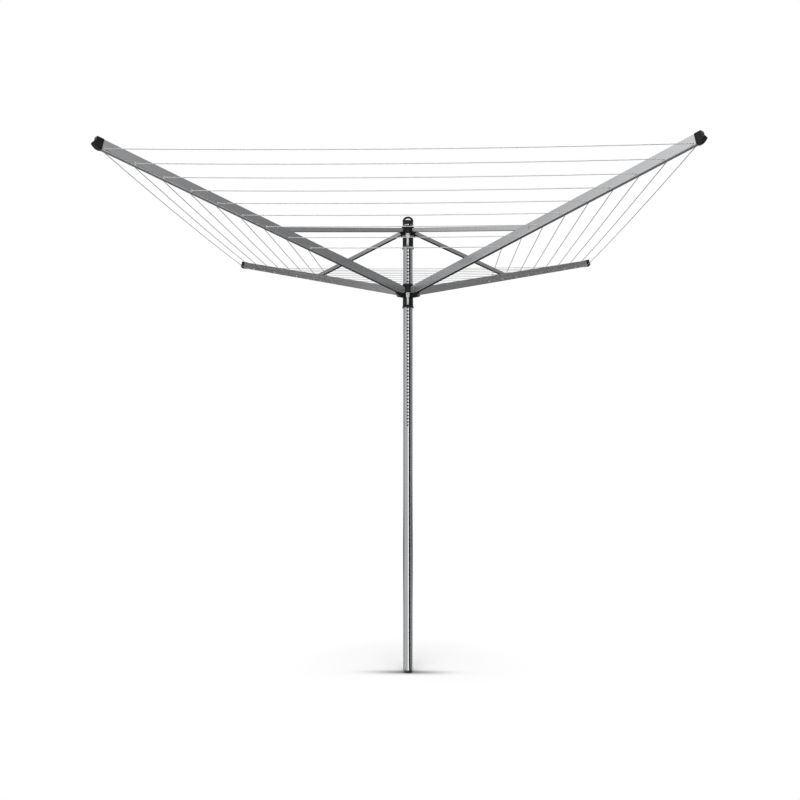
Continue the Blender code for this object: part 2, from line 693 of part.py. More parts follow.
def carriage_hub_mesh():
    """Return the carriage: collar, drum and flange in one, with four arm tongues and lobes."""
    top = CARRIAGE_PIVOT + CARRIAGE_ABOVE_PIVOT
    collar_low = top - CARRIAGE_COLLAR_HEIGHT
    low = CARRIAGE_PIVOT - CARRIAGE_BELOW_PIVOT
    flange_top = low + CARRIAGE_FLANGE_HEIGHT
    body = turned([
        (HUB_BORE, top), (CARRIAGE_SLEEVE_RADIUS, top),
        (CARRIAGE_COLLAR_RADIUS, top - CARRIAGE_COLLAR_HEIGHT * 0.6),
        (CARRIAGE_COLLAR_RADIUS, collar_low), (CARRIAGE_DRUM_RADIUS, collar_low),
        (CARRIAGE_DRUM_RADIUS, flange_top), (CARRIAGE_FLANGE_RADIUS, flange_top - WELD),
        (CARRIAGE_FLANGE_RADIUS, low), (HUB_BORE, low),
    ])
    angles = ARM_ANGLES.values()
    tongues = turned_about_z(arm_tongue(), angles)
    lobes = turned_about_z(arm_lobe(), angles)
    drill = rod(
        ARM_PIN_RADIUS + GAP,
        (PIVOT_RADIUS, -ARM_WIDTH, CARRIAGE_PIVOT), (PIVOT_RADIUS, ARM_WIDTH, CARRIAGE_PIVOT),
    )
    return cut(joined_with(body, tongues, lobes), turned_about_z(drill, angles))


def add_carriage():
    """Build the carriage, its sleeve and ring, its latch and the arms' root pins."""
    hub = add_part("carriage_hub", carriage_hub_mesh(), "black_plastic")
    sleeve_top = CARRIAGE_PIVOT - CARRIAGE_BELOW_PIVOT - GAP
    sleeve_low = sleeve_top - CARRIAGE_SLEEVE_HEIGHT
    sleeve = ring_mesh(CARRIAGE_SLEEVE_RADIUS, sleeve_low, sleeve_top, SLEEVE_CHAMFER)
    height = CARRIAGE_HOLE + CARRIAGE_LATCH_ARM
    rails = latch_rails(
        CARRIAGE_LATCH_TONGUE_WIDTH, CARRIAGE_SLEEVE_RADIUS,
        sleeve_low + WELD, CARRIAGE_HOLE + CARRIAGE_RAIL_ABOVE_HOLE,
    )
    window = rod(
        LATCH_STUB_RADIUS + 3 * GAP,
        (0, -2 * MAST_RADIUS, CARRIAGE_HOLE), (0, 0, CARRIAGE_HOLE),
    )
    sleeve = cut(joined_with(sleeve, rails), window)
    sleeve = joined_with(sleeve, latch_ears(CARRIAGE_SLEEVE_RADIUS, height))
    add_part("carriage_sleeve", sleeve, "black_plastic", parent=hub)
    ring_top = sleeve_low - GAP
    ring = ring_mesh(RING_RADIUS, ring_top - CARRIAGE_RING_HEIGHT, ring_top, LOWER_RING_CHAMFER)
    add_part("carriage_lower_ring", ring, "black_plastic", parent=hub)
    latch = latch_mesh(
        CARRIAGE_LATCH_HEAD_WIDTH, CARRIAGE_LATCH_HEAD_LENGTH, CARRIAGE_LATCH_CORNER,
        CARRIAGE_LATCH_TONGUE_WIDTH, CARRIAGE_LATCH_ARM, CARRIAGE_SLEEVE_RADIUS,
    )
    add_latch("carriage", latch, CARRIAGE_SLEEVE_RADIUS, height, hub)
    pin = headed_pin(ARM_PIN_RADIUS, ARM_PIN_HEAD_RADIUS, ARM_PIN_HEAD, ARM_WIDTH + 2 * GAP)
    for name, angle in ARM_ANGLES.items():
        add_part("arm_pin_" + name, pin.copy(), "steel", arm_place(angle), hub)


# Arms and struts

def line_hole_distances():
    """Return each ring's distance out along an arm, outermost first."""
    return [LINE_FIRST_HOLE - ring * LINE_HOLE_PITCH for ring in range(LINE_RINGS)]


def channel(outline, hollow, width, wall, cross_holes):
    """Return an outline's bar hollowed between two cheeks, with holes drilled across it."""
    inner = prism(hollow, width - 2 * wall)
    drills = [
        rod(radius, (out, -width, up), (out, width, up), segments)
        for out, up, radius, segments in cross_holes
    ]
    return cut(prism(outline, width), inner, together(drills))


def arm_mesh():
    """Return an arm: round-ended cheeks, a floor that starts past the tongue, line holes."""
    half = ARM_HALF_HEIGHT
    outline = arc((0, 0), half, 270, 90, 12) + [(ARM_LENGTH, half), (ARM_LENGTH, -half)]
    floor = ARM_WALL - half
    past = 2 * ARM_HEIGHT
    hollow = [
        (-past, -past), (ARM_WEB_START, -past), (ARM_WEB_START, floor),
        (ARM_LENGTH + past, floor), (ARM_LENGTH + past, past), (-past, past),
    ]
    holes = [
        (0, 0, ARM_PIN_RADIUS + GAP, PIN_SEGMENTS),
        (RIVET_DISTANCE, 0, RIVET_RADIUS + GAP, PIN_SEGMENTS),
    ]
    for out in line_hole_distances():
        holes.append((out, -LINE_HOLE_DROP, LINE_HOLE_RADIUS, HOLE_SEGMENTS))
    return channel(outline, hollow, ARM_WIDTH, ARM_WALL, holes)


def strut_mesh():
    """Return a strut: rounded at both ends, open below."""
    half = STRUT_HEIGHT / 2
    outline = arc((0, 0), half, 270, 90, 8) + arc((STRUT_LENGTH, 0), half, 90, -90, 8)
    roof = half - STRUT_WALL
    past = 2 * STRUT_HEIGHT
    hollow = [
        (-past, roof), (-past, -past), (STRUT_LENGTH + past, -past), (STRUT_LENGTH + past, roof),
    ]
    holes = [
        (0, 0, RIVET_RADIUS + GAP, PIN_SEGMENTS),
        (STRUT_LENGTH, 0, STRUT_PIN_RADIUS + GAP, PIN_SEGMENTS),
    ]
    return channel(outline, hollow, STRUT_WIDTH, STRUT_WALL, holes)


def end_cap_mesh():
    """Return an arm's end cap: a socket over the arm and a shallow pocket in its beak."""
    start = END_CAP_START
    half = END_CAP_HALF_HEIGHT
    outline = [
        (start, half), (start + END_CAP_TOP_LENGTH, half), (start + END_CAP_TOP_LENGTH, 0.6 * half),
        (start + END_CAP_NOSE, -0.3 * half), (start + 0.93 * END_CAP_NOSE, -0.5 * half),
        (start + 0.65 * END_CAP_NOSE, -0.75 * half), (start + 0.3 * END_CAP_NOSE, -half),
        (start, -half),
    ]
    side = ARM_HALF_WIDTH + GAP
    tall = ARM_HALF_HEIGHT + GAP
    socket = block((start - 0.01, -side, -tall), (ARM_LENGTH + GAP, side, tall))
    pocket_floor = ARM_LENGTH + GAP + 2 * CAP_WALL
    pocket_side = END_CAP_WIDTH / 2 - END_CAP_POCKET_RIM
    pocket = block(
        (pocket_floor, -pocket_side, -END_CAP_POCKET_HEIGHT / 2),
        (start + 2 * END_CAP_NOSE, pocket_side, END_CAP_POCKET_HEIGHT / 2),
    )
    return cut(prism(outline, END_CAP_WIDTH, END_CAP_BEVEL), socket, pocket)


def add_arms():
    """Build the four arms with their caps and struts, each on its own pivots."""
    arm_shape = arm_mesh()
    cap_shape = end_cap_mesh()
    strut_shape = strut_mesh()
    rivet = headed_pin(RIVET_RADIUS, RIVET_HEAD_RADIUS, RIVET_HEAD, ARM_WIDTH + 2 * GAP)
    pin = headed_pin(
        STRUT_PIN_RADIUS, STRUT_PIN_HEAD_RADIUS, STRUT_PIN_HEAD, STRUT_WIDTH + 2 * GAP,
    )
    for name, angle in ARM_ANGLES.items():
        arm_at = arm_place(angle)
        arm = add_part("arm_" + name, arm_shape.copy(), "aluminium", arm_at)
        add_part("end_cap_" + name, cap_shape.copy(), "black_plastic", arm_at, arm)
        rivet_at = arm_at @ Matrix.Translation((RIVET_DISTANCE, 0, 0))
        add_part("strut_rivet_" + name, rivet.copy(), "steel", rivet_at, arm)
        strut_at = strut_place(angle)
        strut = add_part("strut_" + name, strut_shape.copy(), "aluminium", strut_at, arm)
        pin_at = strut_at @ Matrix.Translation((STRUT_LENGTH, 0, 0))
        add_part("strut_pin_" + name, pin.copy(), "steel", pin_at, strut)


# Washing line

def span(start, end, steps=2):
    """Return points along a sagging span, without its start."""
    length = (end - start).length
    sag = LINE_SAG_PER_SQUARE_METRE * length ** 2
    points = []
    for step in range(1, steps + 1):
        share = step / steps
        point = start.lerp(end, share)
        point.z -= 4 * sag * share * (1 - share)
        points.append(point)
    return points


def line_points():
    """Return the line's route: round the four arms ring by ring, stepping in at the first."""
    frames = [arm_place(angle) for angle in ARM_ANGLES.values()]
    outside = ARM_HALF_WIDTH + LINE_STANDOFF
    distances = line_hole_distances()
    end_inside = KNOT_RADIUS + KNOT_SETBACK + GAP
    first = frames[0]

    def spot(frame, out, across):
        return frame @ Vector((out, across, -LINE_HOLE_DROP))

    points = [spot(first, distances[0], end_inside)]
    for ring, out in enumerate(distances):
        points.append(spot(first, out, outside))
        for frame in frames[1:]:
            points += span(points[-1], spot(frame, out, -outside))
            points.append(spot(frame, out, outside))
        points += span(points[-1], spot(first, out, -outside))
        if ring + 1 == LINE_RINGS:
            points.append(spot(first, out, -end_inside))
            continue
        after = distances[ring + 1]
        points.append(spot(first, out, -LINE_CORNER))
        points.append(spot(first, out - LINE_CORNER, 0))
        points.append(spot(first, after + LINE_CORNER, 0))
        points.append(spot(first, after, LINE_CORNER))
    return points


def knot_mesh():
    """Return a stopper knot as a rounded bead along Y."""
    radius = KNOT_RADIUS
    profile = [(0, -radius)]
    profile += [(radius * math.cos(a), radius * math.sin(a))
                for a in (math.radians(angle) for angle in (-55, -20, 20, 55))]
    profile += [(0, radius)]
    mesh = turned(profile, closed=False, segments=PIN_SEGMENTS)
    mesh.transform(Matrix.Rotation(math.radians(90), 4, "X"))
    return mesh


def add_washing_line():
    """Build the line and the stopper knots at its two ends, inside the first arm."""
    add_wire("washing_line", line_points(), LINE_RADIUS, "line", 2)
    arm_at = arm_place(ARM_ANGLES["front_right"])
    distances = line_hole_distances()
    ends = (("outer", distances[0], KNOT_SETBACK), ("inner", distances[-1], -KNOT_SETBACK))
    for name, out, across in ends:
        place = arm_at @ Matrix.Translation((out, across, -LINE_HOLE_DROP))
        add_part("line_knot_" + name, knot_mesh(), "line", place)


for existing in list(bpy.data.objects):
    bpy.data.objects.remove(existing)
MATERIALS = {name: principled(name, *finish) for name, finish in FINISHES.items()}

add_part("foot_plug", foot_plug_mesh(), "black_plastic")
mast = add_part("mast_tube", mast_mesh(), "aluminium")
add_part("foot_rivet", foot_rivet_mesh(), "steel", parent=mast)
add_part("mast_top_cap", mast_cap_mesh(), "black_plastic", parent=mast)
add_crown()
add_carriage()
add_arms()
add_washing_line()
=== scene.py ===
import json
import math

import bpy
import numpy as np
from mathutils import Matrix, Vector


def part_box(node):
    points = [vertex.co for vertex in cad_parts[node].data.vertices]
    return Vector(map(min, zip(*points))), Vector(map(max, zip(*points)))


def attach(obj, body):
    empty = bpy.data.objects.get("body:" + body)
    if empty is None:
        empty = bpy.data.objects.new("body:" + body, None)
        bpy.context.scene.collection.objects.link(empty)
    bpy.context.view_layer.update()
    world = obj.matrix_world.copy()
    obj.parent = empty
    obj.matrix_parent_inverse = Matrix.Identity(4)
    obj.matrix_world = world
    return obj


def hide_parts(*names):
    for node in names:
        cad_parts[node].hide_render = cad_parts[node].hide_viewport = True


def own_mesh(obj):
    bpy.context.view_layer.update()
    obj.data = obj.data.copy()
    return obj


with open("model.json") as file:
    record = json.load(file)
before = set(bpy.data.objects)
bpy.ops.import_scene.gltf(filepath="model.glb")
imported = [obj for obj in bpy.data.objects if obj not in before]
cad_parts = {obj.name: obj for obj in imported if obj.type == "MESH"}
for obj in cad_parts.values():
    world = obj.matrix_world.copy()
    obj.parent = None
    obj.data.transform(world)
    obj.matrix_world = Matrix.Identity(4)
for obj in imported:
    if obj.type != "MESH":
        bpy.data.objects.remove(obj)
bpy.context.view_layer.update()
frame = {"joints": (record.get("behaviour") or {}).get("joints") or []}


# Foot plug. A tapered black nylon plug closes the tube's lower end. It is
# moulded in one with the spigot that fills the bore, and its rim is as wide
# as the tube, so that the tube stands on it.

def unit(vectors):
    """Each vector divided by its own length."""
    vectors = np.asarray(vectors, float)
    return vectors / np.linalg.norm(vectors, axis=-1, keepdims=True)


def filleted(corners, radius, steps=5):
    """A closed outline with each corner swapped for an arc tangent to both its sides.

    The arc's reach along a side is radius / tan(half the corner's angle), kept
    under 0.45 of the shorter side, and its centre lies on the corner's bisector.
    """
    corners = np.asarray(corners, float)
    before = np.roll(corners, 1, axis=0) - corners
    after = np.roll(corners, -1, axis=0) - corners
    shorter = np.minimum(np.linalg.norm(before, axis=1), np.linalg.norm(after, axis=1))
    before, after = unit(before), unit(after)
    half = np.arccos(np.clip((before * after).sum(1), -0.99999, 0.99999)) / 2
    reach = np.minimum(np.broadcast_to(radius, half.shape) / np.tan(half), 0.45 * shorter)
    rounding = reach * np.tan(half)
    centre = corners + unit(before + after) * (rounding / np.sin(half))[:, None]
    first = corners + before * reach[:, None] - centre
    last = corners + after * reach[:, None] - centre
    turn = (math.pi - 2 * half)[:, None, None]
    share = np.linspace(0, 1, steps)[None, :, None]
    arcs = np.sin((1 - share) * turn) * first[:, None] + np.sin(share * turn) * last[:, None]
    outline = (centre[:, None] + arcs / np.sin(turn)).reshape(-1, 2)
    apart = np.linalg.norm(outline - np.roll(outline, 1, axis=0), axis=1) > 1e-6
    return outline[apart]


def distances(points):
    """How far along each point is, the steps between neighbours added up."""
    steps = np.linalg.norm(np.diff(points, axis=0), axis=-1)
    return np.concatenate([[0], np.cumsum(steps)])


def outward(points, faces, uv):
    """A closed shell with its faces outwards: all are reversed if its signed volume is negative."""
    volume = 0.0
    for group in faces:
        first = points[group[:, 0]]
        for corner in range(1, group.shape[1] - 1):
            second, third = points[group[:, corner]], points[group[:, corner + 1]]
            volume += (first * np.cross(second, third)).sum()
    if volume < 0:
        faces = [group[:, ::-1] for group in faces]
        uv = [group[:, ::-1] for group in uv]
    return points, faces, uv


def grid(points, wrap_rows=False, wrap_columns=True, close_ends=False):
    """A surface through a grid of points, with its two lengths in metres as its UV map.

    Rows and columns may join up with the first. Open end rows may be closed by
    one flat face each.
    """
    rows, columns = points.shape[:2]
    i, j = np.meshgrid(
        np.arange(rows - 1 + wrap_rows), np.arange(columns - 1 + wrap_columns), indexing="ij",
    )
    row = np.stack([i, i + 1, i + 1, i], axis=-1).reshape(-1, 4)
    column = np.stack([j, j, j + 1, j + 1], axis=-1).reshape(-1, 4)
    faces = [(row % rows) * columns + column % columns]
    longest = np.abs(points - points.mean(axis=0)).sum(axis=(0, 2)).argmax()
    widest = np.abs(points - points.mean(axis=1)[:, None]).sum(axis=(1, 2)).argmax()
    along = distances(np.concatenate([points[:, longest], points[:1, longest]]))
    across = distances(np.concatenate([points[widest], points[widest, :1]]))
    uv = [np.stack([along[row], across[column]], axis=-1)]
    points = points.reshape(-1, 3)
    if close_ends:
        for end in (np.arange(columns)[::-1], np.arange(columns) + (rows - 1) * columns):
            flat = points[end] - points[end].mean(axis=0)
            axes = np.linalg.svd(flat, full_matrices=False)[2][:2]
            faces.append(end[None])
            uv.append((flat @ axes.T)[None])
    return outward(points, faces, uv)


def turned(profile, segments=96, to_axis=False):
    """A profile of (radius, height) turned once round Z.

    It is a closed loop, or to_axis ends it on the axis above and below, where
    the first and last points are joined by flat discs.
    """
    profile = np.asarray(profile, float)
    angle = np.linspace(0, 2 * math.pi, segments, endpoint=False)[None, :, None]
    radius, height = profile[:, None, :1], profile[:, None, 1:]
    points = np.concatenate(
        [radius * np.cos(angle), radius * np.sin(angle), height + 0 * angle], axis=-1,
    )
    return grid(points, wrap_rows=not to_axis, close_ends=to_axis)


def piece(name, shells, material, body, replaces=(), sharp=32):
    """One mesh object made of shells, shaded smooth up to a sharp angle, riding on its body."""
    start = 0
    points, faces, uv = [], [], []
    for shell_points, shell_faces, shell_uv in shells:
        points.append(shell_points)
        for group, corners in zip(shell_faces, shell_uv):
            faces += (group + start).tolist()
            uv.append(corners.reshape(-1, 2))
        start += len(shell_points)
    mesh = bpy.data.meshes.new(name)
    mesh.from_pydata(np.concatenate(points), [], faces)
    layer = mesh.uv_layers.new(name="surface")
    layer.data.foreach_set("uv", np.concatenate(uv).astype(np.float32).ravel())
    mesh.shade_smooth()
    mesh.set_sharp_from_angle(angle=math.radians(sharp))
    mesh.materials.append(material)
    made = bpy.data.objects.new(name, mesh)
    bpy.context.scene.collection.objects.link(made)
    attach(made, body)
    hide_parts(*replaces)
    return made


def node(tree, kind, sockets=None, **settings):
    """Add a shader node with its settings, and fill its sockets from values or other outputs."""
    made = tree.nodes.new("ShaderNode" + kind)
    for name, value in settings.items():
        setattr(made, name, value)
    for name, value in (sockets or {}).items():
        if isinstance(value, bpy.types.NodeSocket):
            tree.links.new(value, made.inputs[name])
        else:
            made.inputs[name].default_value = value
    return made


def effect(name, inputs, outputs):
    """An empty shader node group with float inputs and named outputs; return it and its ends."""
    tree = bpy.data.node_groups.new(name, "ShaderNodeTree")
    for label, value in inputs.items():
        socket = tree.interface.new_socket(label, in_out="INPUT", socket_type="NodeSocketFloat")
        socket.default_value = value
    for label in outputs:
        tree.interface.new_socket(label, in_out="OUTPUT", socket_type="NodeSocketFloat")
    return tree, tree.nodes.new("NodeGroupInput"), tree.nodes.new("NodeGroupOutput")


def placed(material_tree, group, **values):
    """An effect used in a material with its own values."""
    made = material_tree.nodes.new("ShaderNodeGroup")
    made.node_tree = group
    for label, value in values.items():
        made.inputs[label.replace("_", " ").capitalize()].default_value = value
    return made


def moulded_skin_effect():
    """Fine spark-eroded grain of a mould, with faint flow marks over it."""
    tree, given, out = effect("moulded_skin", {"Grains per metre": 2500.0, "Flow": 0.5}, ["Height", "Tone"])
    spot = node(tree, "TexCoord").outputs["Object"]
    scale = given.outputs["Grains per metre"]
    grain = node(tree, "TexNoise", {"Vector": spot, "Scale": scale, "Detail": 3.0, "Roughness": 0.6})
    flow = node(tree, "TexNoise", {"Vector": spot, "Scale": 45.0, "Detail": 4.0, "Distortion": 1.5})
    soft = node(tree, "Math", {0: flow.outputs["Fac"], 1: given.outputs["Flow"]}, operation="MULTIPLY")
    tone = node(tree, "Math", {0: soft.outputs[0], 1: grain.outputs["Fac"]}, operation="ADD")
    tree.links.new(grain.outputs["Fac"], out.inputs["Height"])
    tree.links.new(tone.outputs[0], out.inputs["Tone"])
    return tree


def settled_dust_effect():
    """Outdoor dust: a patchy mask on the surfaces that face up."""
    tree, given, out = effect("settled_dust", {"Amount": 0.3}, ["Mask"])
    normal = node(tree, "SeparateXYZ", {0: node(tree, "NewGeometry").outputs["Normal"]})
    upward = node(tree, "MapRange", {"Value": normal.outputs["Z"], "From Min": 0.35, "From Max": 1.0})
    spot = node(tree, "TexCoord").outputs["Object"]
    patches = node(tree, "TexNoise", {"Vector": spot, "Scale": 60.0, "Detail": 6.0, "Roughness": 0.7})
    patchy = node(tree, "Math", {0: upward.outputs[0], 1: patches.outputs["Fac"]}, operation="MULTIPLY")
    mask = node(tree, "Math", {0: patchy.outputs[0], 1: given.outputs["Amount"]}, operation="MULTIPLY")
    tree.links.new(mask.outputs[0], out.inputs["Mask"])
    return tree


def scuffs_effect():
    """Thin random scratches: ridges of a stretched noise, kept where a second noise is high."""
    tree, given, out = effect("scuffs", {"Marks per metre": 90.0, "Share": 0.3}, ["Mask"])
    spot = node(tree, "TexCoord").outputs["Object"]
    slanted = node(tree, "Mapping", {"Vector": spot, "Rotation": (0.5, 0.9, 0.3), "Scale": (1.0, 9.0, 2.0)})
    scale = given.outputs["Marks per metre"]
    ridges = node(tree, "TexNoise", {"Vector": slanted.outputs[0], "Scale": scale, "Detail": 5.0})
    middle = node(tree, "Math", {0: ridges.outputs["Fac"], 1: 0.5}, operation="SUBTRACT")
    size = node(tree, "Math", {0: middle.outputs[0]}, operation="ABSOLUTE")
    line = node(tree, "MapRange", {"Value": size.outputs[0], "From Max": 0.012, "To Min": 1.0, "To Max": 0.0})
    where = node(tree, "TexNoise", {"Vector": spot, "Scale": 25.0, "Detail": 2.0})
    rare = node(tree, "Math", {0: where.outputs["Fac"], 1: given.outputs["Share"]}, operation="MULTIPLY")
    mask = node(tree, "Math", {0: line.outputs[0], 1: rare.outputs[0]}, operation="MULTIPLY")
    tree.links.new(mask.outputs[0], out.inputs["Mask"])
    return tree


moulded_skin = moulded_skin_effect()
settled_dust = settled_dust_effect()
scuffs = scuffs_effect()


def shaded(tree, low, high, share, at=(0.35, 0.75)):
    """A colour between two, following a mask between the two given levels."""
    ramp = node(tree, "ValToRGB", {"Fac": share})
    for stop, place, colour in zip(ramp.color_ramp.elements, at, (low, high)):
        stop.position = place
        stop.color = (*colour, 1.0)
    return ramp.outputs["Color"]


def colour_mix(tree, first, second, share):
    """The first colour, covered by the second by a share or as far as a mask says."""
    made = node(tree, "Mix", {0: share}, data_type="RGBA")
    for socket, value in ((made.inputs[6], first), (made.inputs[7], second)):
        if isinstance(value, bpy.types.NodeSocket):
            tree.links.new(value, socket)
        else:
            socket.default_value = (*value, 1.0)
    return made.outputs[2]


def plastic(
    name, low, high, roughness, dust=0.10, scuff=(0.06, 0.06, 0.062), grains=2500.0, bump=0.12, specular=0.22,
):
    """Moulded plastic: grainy two-tone colour, scuffs, and dust where it faces up."""
    material = bpy.data.materials.new(name)
    material.use_nodes = True
    tree = material.node_tree
    shader = tree.nodes["Principled BSDF"]
    skin = placed(tree, moulded_skin, grains_per_metre=grains)
    tone = shaded(tree, low, high, skin.outputs["Tone"], at=(0.5, 1.0))
    marks = placed(tree, scuffs, share=0.55)
    marked = colour_mix(tree, tone, scuff, marks.outputs["Mask"])
    film = placed(tree, settled_dust, amount=dust)
    dusty = colour_mix(tree, marked, (0.33, 0.32, 0.30), film.outputs["Mask"])
    tree.links.new(dusty, shader.inputs["Base Color"])
    rough = node(
        tree, "MapRange",
        {"Value": skin.outputs["Tone"], "From Min": 0.4, "From Max": 1.1,
         "To Min": roughness - 0.06, "To Max": roughness + 0.10},
    )
    tree.links.new(rough.outputs[0], shader.inputs["Roughness"])
    relief = node(tree, "Bump", {"Height": skin.outputs["Height"], "Strength": bump, "Distance": 0.0003})
    tree.links.new(relief.outputs["Normal"], shader.inputs["Normal"])
    shader.inputs["IOR"].default_value = 1.5
    shader.inputs["Specular IOR Level"].default_value = specular
    return material


black_plastic = plastic("black_plastic", (0.005, 0.005, 0.0055), (0.013, 0.013, 0.014), 0.42)

foot_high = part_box("foot_plug")[1]
tube_low, tube_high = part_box("mast_tube")
TUBE_RADIUS = tube_high.x
TUBE_WALL = 0.0015
GAP = 0.0003
tube_bore = TUBE_RADIUS - TUBE_WALL
spigot_radius = tube_bore - GAP
foot_height = 0.0137
foot_profile = filleted(
    [(0.0001, 0.0008), (0.009, 0.0008), (0.0095, 0), (0.0115, 0), (0.0195, foot_height - 0.0025),
     (TUBE_RADIUS, foot_height - 0.00125), (TUBE_RADIUS, foot_height), (spigot_radius, foot_height),
     (spigot_radius, foot_high.z), (0.0001, foot_high.z)],
    [0, 0.0004, 0.0004, 0.0012, 0.001, 0.0004, 0.0003, 0.0002, 0.001, 0], steps=4,
)
piece(
    "foot_plug_moulding", [turned(foot_profile, to_axis=True)], black_plastic, "foot",
    replaces=["foot_plug"],
)


# Mast tube. An anodised aluminium tube, 45 mm across, drawn and cut to length.
# One row of 6 mm holes is punched down its front at a 15 mm pitch, each with a
# small chamfer, and both ends are deburred.

def drawn_grain_effect():
    """Drawing lines along a profile: noise stretched along the surface map's first axis."""
    tree, given, out = effect(
        "drawn_grain", {"Lines per metre": 2200.0, "Stretch": 400.0}, ["Height", "Tone", "Streak"],
    )
    flat = node(tree, "SeparateXYZ", {0: node(tree, "TexCoord").outputs["UV"]})
    shrunk = node(tree, "Math", {0: flat.outputs["X"], 1: given.outputs["Stretch"]}, operation="DIVIDE")
    spot = node(tree, "CombineXYZ", {"X": shrunk.outputs[0], "Y": flat.outputs["Y"]})
    lines = node(
        tree, "TexNoise",
        {"Vector": spot.outputs[0], "Scale": given.outputs["Lines per metre"], "Detail": 3.0},
    )
    streak = node(tree, "TexNoise", {"Vector": spot.outputs[0], "Scale": 260.0, "Detail": 4.0})
    clouds = node(
        tree, "TexNoise",
        {"Vector": node(tree, "TexCoord").outputs["Object"], "Scale": 9.0, "Detail": 5.0, "Roughness": 0.65},
    )
    tree.links.new(lines.outputs["Fac"], out.inputs["Height"])
    tree.links.new(clouds.outputs["Fac"], out.inputs["Tone"])
    tree.links.new(streak.outputs["Fac"], out.inputs["Streak"])
    return tree


drawn_grain = drawn_grain_effect()


def aluminium(name, low, high, roughness, dust=0.12, shaded_bore_radius=0.0, inside=0.0):
    """Anodised aluminium: drawing lines in colour, roughness and relief, with bright scratches.

    Nearer to the mast's axis than the given bore radius (the bore, and the walls and
    chamfers of the holes and rims) and past the length inside across the surface
    map (a channel's inside), the colour is painted near-black as shade.
    """
    material = bpy.data.materials.new(name)
    material.use_nodes = True
    tree = material.node_tree
    shader = tree.nodes["Principled BSDF"]
    grain = placed(tree, drawn_grain)
    cloudy = shaded(tree, low, high, grain.outputs["Tone"], at=(0.3, 0.7))
    streaky = shaded(tree, [c * 0.93 for c in low], high, grain.outputs["Streak"], at=(0.3, 0.65))
    colour = colour_mix(tree, cloudy, streaky, 0.5)
    marks = placed(tree, scuffs, share=0.35, marks_per_metre=60.0)
    marked = colour_mix(tree, colour, (0.80, 0.81, 0.82), marks.outputs["Mask"])
    film = placed(tree, settled_dust, amount=dust)
    colour = colour_mix(tree, marked, (0.42, 0.41, 0.39), film.outputs["Mask"])
    # Painted shade: inside this radius, in the bore and in the walls and chamfers of the holes and rims, the
    # colour is near-black.
    if shaded_bore_radius:
        spot = node(tree, "TexCoord").outputs["Object"]
        flat = node(tree, "VectorMath", {0: spot, 1: (1.0, 1.0, 0.0)}, operation="MULTIPLY")
        away = node(tree, "VectorMath", {0: flat.outputs["Vector"]}, operation="LENGTH")
        painted_shade = node(tree, "Math", {0: away.outputs["Value"], 1: shaded_bore_radius}, operation="LESS_THAN")
        colour = colour_mix(tree, colour, (0.02, 0.02, 0.02), painted_shade.outputs[0])
    # Painted shade: past this length across the surface map, on a channel's inside, the colour is near-black.
    if inside:
        flat = node(tree, "SeparateXYZ", {0: node(tree, "TexCoord").outputs["UV"]})
        painted_shade = node(tree, "Math", {0: flat.outputs["Y"], 1: inside}, operation="GREATER_THAN")
        colour = colour_mix(tree, colour, (0.03, 0.03, 0.03), painted_shade.outputs[0])
    tree.links.new(colour, shader.inputs["Base Color"])
    duller = node(
        tree, "MapRange",
        {"Value": film.outputs["Mask"], "From Max": 0.3, "To Min": 1.0, "To Max": 0.55},
    )
    tree.links.new(duller.outputs[0], shader.inputs["Metallic"])
    rough = node(
        tree, "MapRange",
        {"Value": grain.outputs["Streak"], "From Min": 0.3, "From Max": 0.7,
         "To Min": roughness - 0.04, "To Max": roughness + 0.07},
    )
    tree.links.new(rough.outputs[0], shader.inputs["Roughness"])
    relief = node(tree, "Bump", {"Height": grain.outputs["Height"], "Strength": 0.10, "Distance": 0.0001})
    tree.links.new(relief.outputs["Normal"], shader.inputs["Normal"])
    return material


def welded(shells, tolerance=2e-6):
    """Several shells as one, with points that lie on each other made one point."""
    points = np.concatenate([shell[0] for shell in shells])
    starts = np.cumsum([0] + [len(shell[0]) for shell in shells])
    keys = np.round(points / tolerance).astype(np.int64)
    kept, index = np.unique(keys, axis=0, return_index=True, return_inverse=True)[1:]
    index = index.ravel()
    faces, uv = [], []
    for start, shell in zip(starts, shells):
        faces += [index[group + start] for group in shell[1]]
        uv += shell[2]
    return outward(points[kept], faces, uv)


def tube_point(radius, angle, height):
    """Points on a tube, angle 0 at its front and growing to the right."""
    return np.stack([radius * np.sin(angle), -radius * np.cos(angle), height + 0 * angle], axis=-1)


def patch(radius, angle, height, outer_radius, wrap):
    """A grid of faces over arrays of radius, angle and height, mapped by height and arc length."""
    radius, angle, height = np.broadcast_arrays(radius, angle, height)
    shape = angle.shape[-2:]
    shells = []
    for cell in range(angle.size // (shape[0] * shape[1])):
        r, a, h = (x.reshape(-1, *shape)[cell] for x in (radius, angle, height))
        points, faces, uv = grid(tube_point(r, a, h), wrap_columns=wrap)
        corner = faces[0]
        spread = np.stack([h.ravel()[corner], a.ravel()[corner] * outer_radius], axis=-1)
        shells.append((points, faces, [spread]))
    return shells


